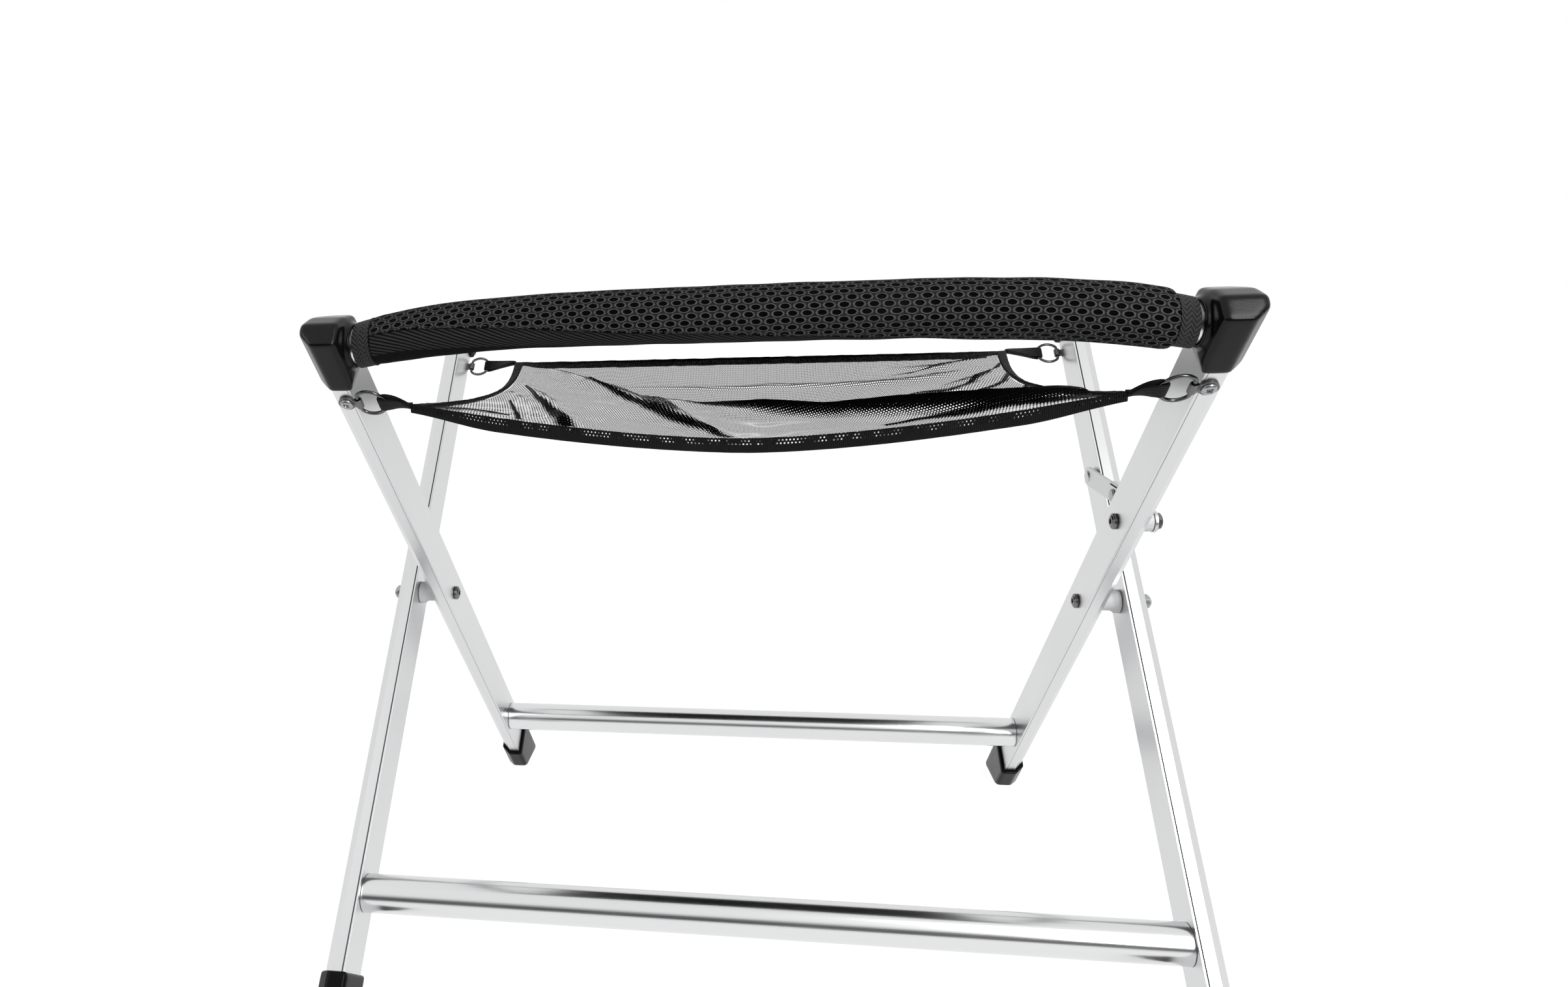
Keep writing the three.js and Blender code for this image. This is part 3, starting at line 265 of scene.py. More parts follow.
# %% World and lamps
bpy.context.scene.view_settings.view_transform = "Standard"
world = bpy.data.worlds.new("studio")
world.use_nodes = True
bpy.context.scene.world = world
sky = world.node_tree
split = sky.nodes.new("ShaderNodeSeparateXYZ")
connect(sky, split.inputs[0], sky.nodes.new("ShaderNodeTexCoord").outputs["Generated"])
level, height = Value(sky, split.outputs[1]), Value(sky, split.outputs[2])
room = 1 - level.step(0.2, -0.4) * (1 - height.step(0.15, 0.5)) * 0.92
seen, through, mirrored = ray_kinds(sky)
shown = seen.most(through)
backdrop = sky.nodes["Background"]
connect(sky, backdrop.inputs["Color"], (1, 1, 1, 1))
connect(sky, backdrop.inputs["Strength"], shown + mirrored * room * 0.95 + (1 - shown.most(mirrored)) * 0.42)

for name, place, aim_height, width, height, watts in (
    ("top_softbox", (0.89, -1.15, 1.58), 0.4, 0.8, 0.6, 11),
    ("left_softbox", (-1.5, -0.9, 0.9), 0.3, 0.3, 1.1, 3),
    ("right_softbox", (0.95, -1.65, 0.95), 0.4, 0.5, 0.9, 12),
):
    data = bpy.data.lights.new(name, "AREA")
    data.shape = "RECTANGLE"
    data.size, data.size_y, data.energy = width, height, watts
    lamp = placed(name, data)
    lamp.location = place
    lamp.rotation_euler = (Vector((0, 0, aim_height)) - Vector(place)).to_track_quat("-Z", "Y").to_euler()
print("lamps: one above, one at each side")

# %% [markdown]
# ## Metal
# The legs are drawn aluminium: bright, a little blurred, with fine lines along the leg that the
# die left. The lines are noise stretched a hundred times in the leg's direction. The rails and
# crossbars are polished harder, and the small parts are plated steel, darker and greyer.
# An extrusion's edges are never razor sharp, so a Bevel node rounds the light on them.

# %% Aluminium finishes
LEAN, LEG_BELOW_PIVOT, INNER_FACE, OUTER_FACE = math.radians(41), 0.3215, 0.232, 0.260
pivot_height = LEG_BELOW_PIVOT * math.cos(LEAN)


def metal(name, color, roughness, spread, lines=None, edge=0.0004, groove_shade=None):
    finish = Finish(name)
    finish.set(Base_Color=(*color, 1), Metallic=1.0)
    x, y, z = finish.place()
    if groove_shade:
        # Painted shade: a dark line along the groove beside each inner edge of a leg.
        finish.set(Base_Color=finish.blend(groove_shade(x, y, z), color, (0.03, 0.03, 0.03)))
    along = lines(x, y, z) if lines else (x, y, z)
    grain = finish.cloud(1.0, detail=2.0, stretch=along)
    smear = finish.cloud(0.06, detail=3.0)
    finish.set(Roughness=grain * spread + smear * spread * 0.8 + (roughness - spread * 0.9))
    edge_node = finish.node("ShaderNodeBevel", {"samples": 4}, Radius=edge)
    finish.set(Normal=finish.bump(grain, 0.00004, 0.35, edge_node.outputs[0]))
    return finish.material


def leg_lines(lean):
    """Coordinates whose noise runs in fine lines along a leg that leans so far."""
    def stretch(x, y, z):
        across = y * math.cos(lean) + z * math.sin(lean)
        length = z * math.cos(lean) - y * math.sin(lean)
        return x * 1400, across * 1400, length * 9
    return stretch


def leg_groove_shade(lean, face, half_width, strength):
    """1 in the fine line beside each inner edge of a leg, where a painted shade darkens the groove, and 0 elsewhere.
    """
    inset_from_face, front_from, front_at = 0.00155, 0.01455, 0.0146

    def line(x, y, z):
        across = (y * math.cos(lean) + (z - pivot_height) * math.sin(lean)).size()
        inset = x.size() - (face + inset_from_face)
        return inset.size().step(half_width, half_width * 0.6) * across.step(front_from, front_at) * strength
    return line


def drawn_out(*scales):
    """Coordinates whose noise is drawn out along the axes with the smaller scales."""
    return lambda *place: [part * scale for part, scale in zip(place, scales)]


leg_color = (0.72, 0.725, 0.73)
inner_metal = metal("inner_leg_aluminium", leg_color, 0.33, 0.10, leg_lines(LEAN),
                    groove_shade=leg_groove_shade(LEAN, INNER_FACE, 0.0003, 0.35))
outer_metal = metal("outer_leg_aluminium", leg_color, 0.33, 0.10, leg_lines(-LEAN),
                    groove_shade=leg_groove_shade(-LEAN, OUTER_FACE, 0.0006, 0.95))
tube_metal = metal("polished_tube", (0.76, 0.765, 0.77), 0.20, 0.06, drawn_out(14, 1500, 1500))
link_metal = metal("stay_link_sheet", (0.62, 0.625, 0.63), 0.34, 0.12, drawn_out(300, 40, 900))
print("leg, tube and link metal made")

# %% Plated steel
zinc = metal("zinc_plated_steel", (0.42, 0.42, 0.43), 0.34, 0.10, drawn_out(500, 500, 500), 0.0003)
lug_steel = metal("lug_sheet", (0.19, 0.19, 0.193), 0.46, 0.10)
# Painted reflection: the rings' wire is the same plated steel made darker, for the dark room that thin wire mirrors.
ring_wire = metal("ring_wire", (0.15, 0.15, 0.153), 0.20, 0.06)
dark_zinc = metal("dark_plated_steel", (0.20, 0.20, 0.205), 0.32, 0.10, drawn_out(500, 500, 500), 0.0003)
print("four kinds of plating made")

# %% [markdown]
# ## Moulded plastic
# Caps and boots are black nylon: not pure black, with a fine spark-eroded grain from the mould
# and soft, slightly uneven gloss where hands have rubbed it. The bushes are the same plastic
# left pale.

# %% Plastic finishes
def moulded(name, color, roughness, grain_size=0.0007, gloss=0.5):
    finish = Finish(name)
    rub = finish.cloud(0.03, detail=4.0)
    worn = rub.step(0.5, 0.75)
    lighter = tuple(min(1.0, part * 1.6 + 0.004) for part in color)
    finish.set(Base_Color=finish.blend(worn * 0.5, color, lighter))
    grain = finish.cloud(grain_size, detail=2.0)
    finish.set(Roughness=rub * 0.14 + (roughness - 0.07), IOR=1.5, Specular_IOR_Level=gloss)
    finish.set(Normal=finish.bump(grain, 0.00006, 0.5))
    return finish.material


black_plastic = moulded("black_nylon", (0.0022, 0.0022, 0.0023), 0.22, gloss=0.22)
black_rubber = moulded("black_boot", (0.0022, 0.0022, 0.0023), 0.26, gloss=0.10)
pale_plastic = moulded("pale_bush_nylon", (0.66, 0.665, 0.67), 0.5)
print("black and pale plastic made")

# %% Legs
def dress(piece, material):
    piece.data.materials.clear()
    piece.data.materials.append(material)


for side in ("left", "right"):
    dress(nodes[f"inner_leg_{side}"], inner_metal)
    dress(nodes[f"outer_leg_{side}"], outer_metal)
print("legs dressed: 4")

# %% [markdown]
# ## Sizes that the dressing follows
# The rigid pieces are drawn again in each leg frame's own axes: the pivot is the zero point, Z
# runs up the legs and Y through the frame. One matrix then leans the frame into its place, so
# both frames share every recipe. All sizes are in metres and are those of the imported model.

# %% Frame axes and sizes
mm = 0.001
pivot = Vector(next(joint for joint in frame["joints"] if joint["name"] == "fold")["pos_m"])
inner_axes = Matrix.Translation(pivot) @ Matrix.Rotation(LEAN, 4, "X")
outer_axes = Matrix.Translation(pivot) @ Matrix.Rotation(-LEAN, 4, "X") @ Matrix.Rotation(math.pi, 4, "Z")
LEG_DEPTH, GAP = 0.015, 0.0003
RAIL_REACH, CROSSBAR_REACH, RAIL_RADIUS, RAIL_RISE = 0.267, 0.224, 0.011, 0.0155
RAIL_STRAIGHT, COLLAR_START, COLLAR_END = 0.009, 0.2114, 0.2219
FRAMES = (("near", "inner", INNER_FACE, inner_axes, 1), ("far", "outer", OUTER_FACE, outer_axes, -1))
SIDES = {"left": -1, "right": 1}
# Each corner: its frame's words, face and axes, its side, and the way outwards in those axes.
CORNERS = [(end, label, face, axes, side, sign, sign * turned_round)
           for end, label, face, axes, turned_round in FRAMES for side, sign in SIDES.items()]
print("pivots are", round(pivot.z * 1000, 1), "mm above the floor")


def arch(x, face):
    """How far a rail stands up out of its straight line, at x."""
    end = face - RAIL_STRAIGHT
    return RAIL_RISE * (1 - (x / end) ** 4) if abs(x) < end else 0.0


# %% [markdown]
# ## Skins
# Nearly every piece here is a skin over rings of points: a tube is rings along a path, a screw
# is rings about its axis, a strap is flat rings along the tape. One function joins the rings
# and closes the ends, so each piece below only has to say where its rings are.

# %% Skin helpers
def make(name, rings, material, ends=True, loop=False, smooth=True):
    """A piece skinned over closed rings that all have as many points."""
    count = len(rings[0])
    faces = []
    for r in range(len(rings) if loop else len(rings) - 1):
        here, there = r * count, (r + 1) % len(rings) * count
        faces += [(here + i, here + (i + 1) % count, there + (i + 1) % count, there + i)
                  for i in range(count)]
    if ends and not loop:
        faces += [tuple(reversed(range(count))), tuple(range((len(rings) - 1) * count, len(rings) * count))]
    mesh = bpy.data.meshes.new(name)
    mesh.from_pydata([tuple(point) for ring in rings for point in ring], [], faces)
    shape = bmesh.new()
    shape.from_mesh(mesh)
    bmesh.ops.remove_doubles(shape, verts=shape.verts, dist=1e-7)
    bmesh.ops.recalc_face_normals(shape, faces=shape.faces)
    shape.to_mesh(mesh)
    shape.free()
    mesh.shade_smooth()
    piece = placed(name, mesh)
    mesh.materials.append(material)
    if smooth is not True:
        mesh.set_sharp_from_angle(angle=math.radians(smooth))
    return piece


def circle(radius, sides, centre=Vector(), first=Vector((0, 1, 0)), second=Vector((0, 0, 1))):
    return [centre + radius * (math.cos(2 * math.pi * i / sides) * first
                               + math.sin(2 * math.pi * i / sides) * second) for i in range(sides)]


def stands_for(piece, slot, *replaced):
    """Ties a piece to the body of the nodes that it stands for."""
    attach(piece, nodes[replaced[0]]["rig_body"])
    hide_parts(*replaced)
    return piece


def from_shape(name, shape, material):
    """A piece with one material, out of a bmesh shape."""
    mesh = bpy.data.meshes.new(name)
    shape.to_mesh(mesh)
    shape.free()
    mesh.materials.append(material)
    return placed(name, mesh)


# %% [markdown]
# ## Grids that know their cloth
# Woven and knitted pieces need a map that says where each point lies on the flat cloth, or the
# weave would stretch over the curves. So every fabric piece is a grid of points, each of which
# also carries its place on the cloth in metres. A Cloth simulation isn't used here: the
# sling is pulled taut over two rails and the net hangs from four hooks, so both shapes follow
# from where they are held, and drawing them keeps the weave straight.

# %% Grid helper
def between(low, high, share):
    return low + (high - low) * share


def eased(share):
    share = max(0.0, min(1.0, share))
    return share * share * (3 - 2 * share)


def table(stops, x):
    """A value read off a list of (place, value) stops, with soft turns at the stops."""
    if x <= stops[0][0]:
        return stops[0][1]
    for (low, first), (high, second) in zip(stops, stops[1:]):
        if x <= high:
            return between(first, second, eased((x - low) / (high - low)) * 0.5 + (x - low) / (high - low) * 0.5)
    return stops[-1][1]


def lay(shape, points, maps):
    """Adds a grid of points to a shape, each with its places on the maps."""
    verts = [[shape.verts.new(point) for point in row] for row in points]
    layers = {label: shape.loops.layers.uv.get(label) or shape.loops.layers.uv.new(label) for label in maps}
    for r in range(len(points) - 1):
        for i in range(len(points[0]) - 1):
            spots = ((r, i), (r, i + 1), (r + 1, i + 1), (r + 1, i))
            face = shape.faces.new([verts[a][b] for a, b in spots])
            face.smooth = True
            for loop, (a, b) in zip(face.loops, spots):
                for label, layer in layers.items():
                    loop[layer].uv = maps[label][a][b]


def woven(name, points, maps, material, finish_shape=None):
    """A piece of cloth out of one grid. Edges that meet are welded."""
    shape = bmesh.new()
    lay(shape, points, maps)
    bmesh.ops.remove_doubles(shape, verts=shape.verts, dist=2e-6)
    if finish_shape:
        finish_shape(shape)
    bmesh.ops.recalc_face_normals(shape, faces=shape.faces)
    return from_shape(name, shape, material)


# %% [markdown]
# ## Corner caps and boots
# Each corner cap is an injection-moulded elbow. The mould leaves no sharp corner: every edge is
# a soft radius of two or three millimetres, and that is what catches the light. The plain solid
# has flat faces, so a copy of it is remeshed in fine cubes and smoothed, which rounds the outer
# edges and fills the inner ones a little, as the mould does. A Bevel modifier would leave
# pinched corners where three slanted faces meet.

# %% Caps and boots
def softened(node, voxel, passes, material):
    piece = placed("moulded_" + node, nodes[node].data.copy())
    cubes = piece.modifiers.new("fine cubes", "REMESH")
    cubes.mode, cubes.voxel_size, cubes.use_smooth_shade = "VOXEL", voxel, True
    rounding = piece.modifiers.new("rounding", "SMOOTH")
    rounding.factor, rounding.iterations = 0.5, passes
    mesh = bpy.data.meshes.new_from_object(piece.evaluated_get(bpy.context.evaluated_depsgraph_get()))
    piece.modifiers.clear()
    piece.data = mesh
    dress(piece, material)
    return piece


for end, label, _, _, side, _, _ in CORNERS:
    cap, boot = f"{end}_corner_cap_{side}", f"{label}_foot_{side}"
    stands_for(softened(cap, 0.0008, 40, black_plastic), "black_plastic", cap)
    stands_for(softened(boot, 0.0009, 9, black_rubber), "black_plastic", boot)

# %% [markdown]
# ## Rails and crossbars
# Tube that bends smoothly shows its quality in long unbroken highlights, and a facet breaks
# them. The arched rails and the crossbars are skinned again with four times as many sides.

# %% Tubes
def tube(name, axes, points, radius, wall, material, sides=56):
    outside, inside = ([[axes @ point for point in circle(size, sides, Vector(centre))] for centre in points]
                       for size in (radius, radius - wall))
    return make(name, outside + inside[::-1], material, loop=True, smooth=50)


for end, label, face, axes, _ in FRAMES:
    reach = face - GAP
    stations = [reach * math.sin(math.pi * (i / 72 - 0.5)) for i in range(73)]
    rail = tube(f"{end}_arched_rail", axes, [(x, 0, RAIL_REACH + arch(x, face)) for x in stations],
                RAIL_RADIUS, 0.0015, tube_metal)
    stands_for(rail, "bright_tube", f"{end}_rail")
    bar = tube(f"{label}_round_crossbar", axes,
               [(x, 0, -CROSSBAR_REACH) for x in (-reach, -reach / 2, 0, reach / 2, reach)],
               0.0125, 0.0014, tube_metal)
    stands_for(bar, "bright_tube", f"{label}_crossbar")
print("rails and crossbars skinned")

# %% [markdown]
# ## Rings and their lugs
# Each D-ring is bent from round wire, so its corners are small bends. The path is drawn as a
# bar and an arc and then averaged a dozen times, which rounds the two corners and leaves the
# rest. The lug is one strip of sheet: round at the screw, narrow at the neck, bent round the
# bar and back under itself.

# %% D-rings and lugs
WIRE, RING_RADIUS, BAR_INSET, LUG_OVERHANG, LUG_Y = 0.0011, 0.0092, 0.007, 0.0031, -0.0159
LUG_Z, LUG_SCREW_INSET = 0.236, 0.0044


def ring_path(steps=160):
    corner = math.acos(BAR_INSET / RING_RADIUS)
    arc, bar = 2 * (math.pi - corner) * RING_RADIUS, 2 * RING_RADIUS * math.sin(corner)
    points = []
    for i in range(steps):
        run = (arc + bar) * i / steps
        if run < arc:
            turned_by = corner - math.pi + run / RING_RADIUS
            points.append(Vector((RING_RADIUS * math.cos(turned_by), 0, RING_RADIUS * math.sin(turned_by))))
        else:
            points.append(Vector((-BAR_INSET, 0, bar / 2 - (run - arc))))
    for _ in range(12):
        points = [(points[i - 1] + 2 * points[i] + points[(i + 1) % steps]) / 4 for i in range(steps)]
    return points


def wire(name, path, radius, material, sides=14):
    rings = []
    for i, point in enumerate(path):
        ahead = (path[(i + 1) % len(path)] - path[i - 1]).normalized()
        across = ahead.cross(Vector((0, 1, 0)))
        rings.append(circle(radius, sides, point, Vector((0, 1, 0)), across))
    return make(name, rings, material, loop=True)


for end, label, face, axes, side, sign, out in CORNERS:
    bent = wire(f"{end}_d_ring_{side}", ring_path(), WIRE, ring_wire)
    bent.data.transform(axes @ Matrix.Translation((out * (face - LUG_OVERHANG - BAR_INSET), LUG_Y, LUG_Z))
                        @ Matrix.Rotation(math.pi if out > 0 else 0, 4, "Z"))
    stands_for(bent, "zinc_steel", f"{end}_ring_{side}")
print("points round one ring:", len(ring_path()))


# %% Folded lugs
def ribbon(name, spots, thickness, material, corners=18):
    """A strip through spots: each has a middle, half a width as a vector, and its face's normal."""
    points, places, run, last = [], [], 0.0, spots[0][0]
    for middle, half, face in spots:
        run += (middle - last).length
        last = middle
        row, flat = [], []
        for i in range(corners + 1):
            turn = 2 * math.pi * i / corners
            across = math.copysign(abs(math.cos(turn)) ** 0.3, math.cos(turn))
            lift = math.copysign(abs(math.sin(turn)) ** 0.55, math.sin(turn))
            row.append(middle + half * across + face * (thickness / 2 * lift))
            flat.append((across * half.length + (0.0 if lift > 0 else 0.0003), run))
        points.append(row)
        places.append(flat)

    def close(shape):
        bmesh.ops.holes_fill(shape, edges=[edge for edge in shape.edges if edge.is_boundary], sides=0)

    return woven(name, points, {"cloth": places}, material, finish_shape=close)


def folded_lug(name, out, face, axes):
    screw_x, eye_x, head, fold = face + LUG_SCREW_INSET, face - LUG_OVERHANG, 5.1 * mm, 1.9 * mm
    # Points along the strip: x, half the width, and the depth in millimetres.
    layer = [(screw_x + head * math.cos(math.radians(turn)), head * math.sin(math.radians(turn)), 0.42)
             for turn in (4, 12, 22, 34, 48, 62, 76, 90, 102)]
    layer += [(screw_x - back * mm, wide * mm, depth) for back, wide, depth in
              ((2.4, 4.3, 0.42), (3.6, 3.4, 0.42), (4.4, 2.95, 0.46))]
    layer += [(eye_x + 2.5 * mm, 2.9 * mm, 0.62), (eye_x + 2.0 * mm, 3.0 * mm, 0.9)]
    bend = [(eye_x + fold * math.cos(math.radians(turn)), 3.25 * mm, fold * math.sin(math.radians(turn)) / mm)
            for turn in range(45, 320, 15)]
    line = layer + bend + [(x, wide, -depth) for x, wide, depth in reversed(layer[2:])]
    spots = []
    for i, (x, wide, depth) in enumerate(line):
        before, after = line[max(0, i - 1)], line[min(len(line) - 1, i + 1)]
        heading = Vector((out * (after[0] - before[0]), -(after[2] - before[2]) * mm, 0)).normalized()
        normal = heading.cross(Vector((0, 0, 1)))
        middle = axes @ Vector((out * x, LUG_Y - depth * mm, LUG_Z))
        spots.append((middle, axes.to_3x3() @ Vector((0, 0, wide)), axes.to_3x3() @ normal))
    return ribbon(name, spots, 0.8 * mm, lug_steel)


for end, label, face, axes, side, sign, out in CORNERS:
    lug = folded_lug(f"{end}_folded_lug_{side}", out, face, axes)
    stands_for(lug, "zinc_steel", f"{end}_ring_lug_{side}")
print("four lugs folded")

# %% [markdown]
# ## Screws, bolts and nuts
# Screw heads are turned from a profile. A cross recess is cut into the crown by lowering the
# points that lie near the two crossing lines, and a hexagon socket by pulling a ring of the
# profile from round to six-sided. The same trick makes the nuts.

# %% Pan-head screws
def cross_recess(size):
    """How far the crown is pressed in at a point, by a cross of arms of a width."""
    def depth(x, y):
        turned_x, turned_y = (x + y) * 0.7071, (y - x) * 0.7071
        near_line = min(abs(turned_x), abs(turned_y))
        reach = max(abs(turned_x), abs(turned_y))
        inside_arm = max(0, min(1, 2.4 - near_line / (size * 0.1)))
        return size * 0.45 * inside_arm * max(0, min(1, 2.6 - reach / (size * 0.22)))
    return depth


def pan_screw(name, place, head, height, shank, length, material):
    dip = cross_recess(head * 0.92)
    shoulder = [(head * wide, height * high) for wide, high in
                ((1, 0.0), (1, 0.30), (0.94, 0.52), (0.82, 0.75), (0.66, 0.90))]
    crown = [(head * step / 20, height * (1 - 0.1 * (step / 13) ** 2)) for step in range(12, -1, -1)]
    below = [(0, -length), (shank * 0.3, -length), (shank, -length + shank * 1.5), (shank, 0.0)]
    rings = [[Vector((radius * math.cos(2 * math.pi * i / 64), radius * math.sin(2 * math.pi * i / 64), up))
              for i in range(64)] for radius, up in below + shoulder + crown]
    for ring in rings[6:]:
        for point in ring:
            point.z -= dip(point.x, point.y)
    return make(name, [[place @ point for point in ring] for ring in rings], material, smooth=40)


def facing(x, y, z, way):
    """Axes whose Z points out of a screw's head."""
    turn = {"front": Matrix.Rotation(math.pi / 2, 4, "X"), "right": Matrix.Rotation(math.pi / 2, 4, "Y"),
            "left": Matrix.Rotation(-math.pi / 2, 4, "Y")}[way]
    return Matrix.Translation((x, y, z)) @ turn


for end, label, face, axes, side, sign, out in CORNERS:
    screw = pan_screw(f"{end}_pan_screw_{side}",
                      axes @ facing(out * (face + LUG_SCREW_INSET), LUG_Y - 0.0009, LUG_Z, "front"),
                      0.0038, 0.0019, 0.002, 0.0120, zinc)
    stands_for(screw, "zinc_steel", f"{end}_lug_screw_{side}")
    bar_screw = pan_screw(f"{label}_bar_screw_{side}",
                          axes @ facing(out * (face + LEG_DEPTH + GAP), 0, -CROSSBAR_REACH,
                                        "right" if out > 0 else "left"),
                          0.0045, 0.0022, 0.0018, LEG_DEPTH + GAP + 0.0216, zinc)
    stands_for(bar_screw, "zinc_steel", f"{label}_crossbar_screw_{side}")
print("eight pan-head screws made")

# %% Pivot bolts, bushes and nuts
BOLT, NUT = 3, 5.6  # radius of the shank, and of the nut across its corners, in millimetres


def hexed(turn):
    """Radius of a hexagon, as a share of its corners'."""
    sixth = math.pi / 3
    return math.cos(sixth / 2) / math.cos(turn % sixth - sixth / 2)


def turned(name, profile, place, material, sides=48, loop=False, smooth=35):
    """A piece turned about Z. A profile point is a radius and a height in millimetres, and how six-sided it is."""
    rings = []
    for radius, height, *six in profile:
        share = six[0] if six else 0.0
        ring = []
        for i in range(sides):
            turn = 2 * math.pi * i / sides
            reach = radius * mm * (1 + share * (hexed(turn) - 1))
            ring.append(place @ Vector((reach * math.cos(turn), reach * math.sin(turn), height * mm)))
        rings.append(ring)
    return make(name, rings, material, loop=loop, smooth=smooth)


def socket_bolt(name, place, grip, material):
    """A round head with a hexagon socket on a shank as long as the grip, in metres."""
    grip = grip / mm
    return turned(name, [
        (0, -grip), (BOLT - 0.5, -grip), (BOLT, 0.5 - grip), (BOLT, 0), (5.0, 0), (5.2, 0.2), (5.2, 1.3), (5.0, 1.8),
        (4.6, 2.1), (4.1, 2.15), (3.9, 1.95), (3.7, 2.2), (3.4, 2.7), (3.0, 2.95), (2.3, 3.0), (2.0, 2.85, 1),
        (1.9, 2.4, 1), (1.9, 1.2, 1), (0, 1.2),
    ], place, material)


def lock_nut(name, place, high, material):
    return turned(name, [
        (BOLT + 0.3, 0), (4.7, 0), (NUT, 0.5, 1), (NUT, high * 0.66, 1), (4.85, high * 0.66 + 0.5),
        (4.4, high * 0.72 + 0.4), (4.3, high - 0.4), (3.9, high), (BOLT + 0.3, high),
    ], place, material, loop=True)


nut_seat = OUTER_FACE + LEG_DEPTH + GAP
bush_start = INNER_FACE + LEG_DEPTH + GAP
for side, sign in SIDES.items():
    outwards, inwards = ("right", "left") if sign > 0 else ("left", "right")
    bolt = socket_bolt(f"pivot_socket_bolt_{side}", facing(sign * (INNER_FACE - GAP), 0, pivot.z, inwards),
                       nut_seat + 0.0058 - (INNER_FACE - GAP), dark_zinc)
    stands_for(bolt, "dark_steel", f"pivot_bolt_{side}")
    nut = lock_nut(f"pivot_lock_nut_{side}", facing(sign * nut_seat, 0, pivot.z, outwards), 5, zinc)
    stands_for(nut, "zinc_steel", f"pivot_nut_{side}")
    length = (OUTER_FACE - GAP - bush_start) / mm
    bush = turned(f"pivot_flanged_bush_{side}", [
        (3.3, 0), (6.2, 0), (6.5, 0.3), (6.6, length * 0.50), (7.4, length * 0.66), (8.2, length * 0.72),
        (8.5, length * 0.78), (8.5, length - 0.4), (8.1, length), (3.3, length),
    ], facing(sign * bush_start, 0, pivot.z, outwards), pale_plastic, loop=True)
    stands_for(bush, "pale_bush", f"pivot_bush_{side}")
print("pivot bolts, nuts and bushes made")

# %% [markdown]
# ## Lock stay
# The two links are punched from sheet. A flat curve with holes, given a thickness and a small
# bevel, makes such a part at once, with ends as round as the punch leaves them. The lower
# link's lip is a strip that bends over the upper link's edge.

# %% Links
def plate(name, outlines, low, high, place, material, bevel=0.0002):
    """Sheet between two heights over X. Its outlines hold y and z, the first one outermost."""
    curve = bpy.data.curves.new(name, "CURVE")
    curve.dimensions, curve.fill_mode = "2D", "BOTH"
    curve.extrude, curve.bevel_depth, curve.bevel_resolution = (high - low) / 2 - bevel, bevel, 2
    curve.offset = -bevel
    for points in outlines:
        spline = curve.splines.new("POLY")
        spline.points.add(len(points) - 1)
        for spot, (y, z) in zip(spline.points, points):
            spot.co = (y, z, 0, 1)
        spline.use_cyclic_u = True
    drawn = placed(name, curve)
    mesh = bpy.data.meshes.new_from_object(drawn.evaluated_get(bpy.context.evaluated_depsgraph_get()))
    bpy.data.objects.remove(drawn)
    upright = Matrix(((0, 0, 1, (low + high) / 2), (1, 0, 0, 0), (0, 1, 0, 0), (0, 0, 0, 1)))
    mesh.transform(place @ upright)
    mesh.shade_smooth()
    mesh.set_sharp_from_angle(angle=math.radians(35))
    piece = placed(name, mesh)
    dress(piece, material)
    return piece


def round_hole(y, z, radius, sides=32):
    return [(y + radius * math.cos(2 * math.pi * i / sides), z + radius * math.sin(2 * math.pi * i / sides))
            for i in range(sides)]


def half_round(centre, start, radius, sides=24):
    """Half a circle about (centre, 0), turning left from an angle."""
    return [(centre + radius * math.cos(start + math.pi * i / sides), radius * math.sin(start + math.pi * i / sides))
            for i in range(sides + 1)]


def joined(name, pieces, finish_shape=None):
    """One piece out of several that touch."""
    shape = bmesh.new()
    for part in pieces:
        shape.from_mesh(part.data)
    material = pieces[0].data.materials[0]
    for part in pieces:
        bpy.data.objects.remove(part)
    if finish_shape:
        finish_shape(shape)
    return from_shape(name, shape, material)


STAY_LOW, STAY_HIGH = 96.8 * mm, 104.5 * mm
LOWER_X, UPPER_X, SHEET, LINK_RADIUS = 253.5 * mm, 255.9 * mm, 2 * mm, 7 * mm
low_end = inner_axes @ Vector((0, 0, STAY_LOW))
high_end = outer_axes @ Vector((0, 0, STAY_HIGH))
run = high_end - low_end
tilt = Matrix.Rotation(math.atan2(run.z, run.y), 4, "X")
lower_axes, upper_axes = Matrix.Translation(low_end) @ tilt, Matrix.Translation(high_end) @ tilt
knuckle, upper_run = run.length * 0.53, run.length * 0.47

lobe_middle, lip_bottom, lip_top = knuckle - 9 * mm, 7.4 * mm, 8.8 * mm
lobe = []
for step in range(25):
    share = step / 12 - 1
    rise = eased((0.8 - abs(share) * 0.8) / 0.55)
    lobe.append((lobe_middle + share * 9.6 * mm, -LINK_RADIUS - 10 * mm * rise))
lower_plan = (lobe + [point for point in half_round(knuckle, -math.pi / 2, LINK_RADIUS) if point[1] < 3.5 * mm]
              + [(knuckle + 7 * mm, lip_bottom), (knuckle + 7 * mm, lip_top - 0.9 * mm),
                 (knuckle - 7 * mm, lip_top - 0.9 * mm), (knuckle - 7 * mm, LINK_RADIUS)]
              + half_round(0, math.pi / 2, LINK_RADIUS))
lower_plate = plate("lower_plate", [
    lower_plan, round_hole(0, 0, 3.3 * mm), round_hole(knuckle, 0, 2.8 * mm),
    round_hole(lobe_middle, -LINK_RADIUS - 5 * mm, 1.1 * mm),
], LOWER_X, LOWER_X + SHEET, lower_axes, link_metal)
bend = [(LOWER_X + 1.3 * mm * (1 - math.cos(turn)), lip_top - 1.3 * mm * (1 - math.sin(turn)))
        for turn in (math.pi / 2 * step / 8 for step in range(9))]
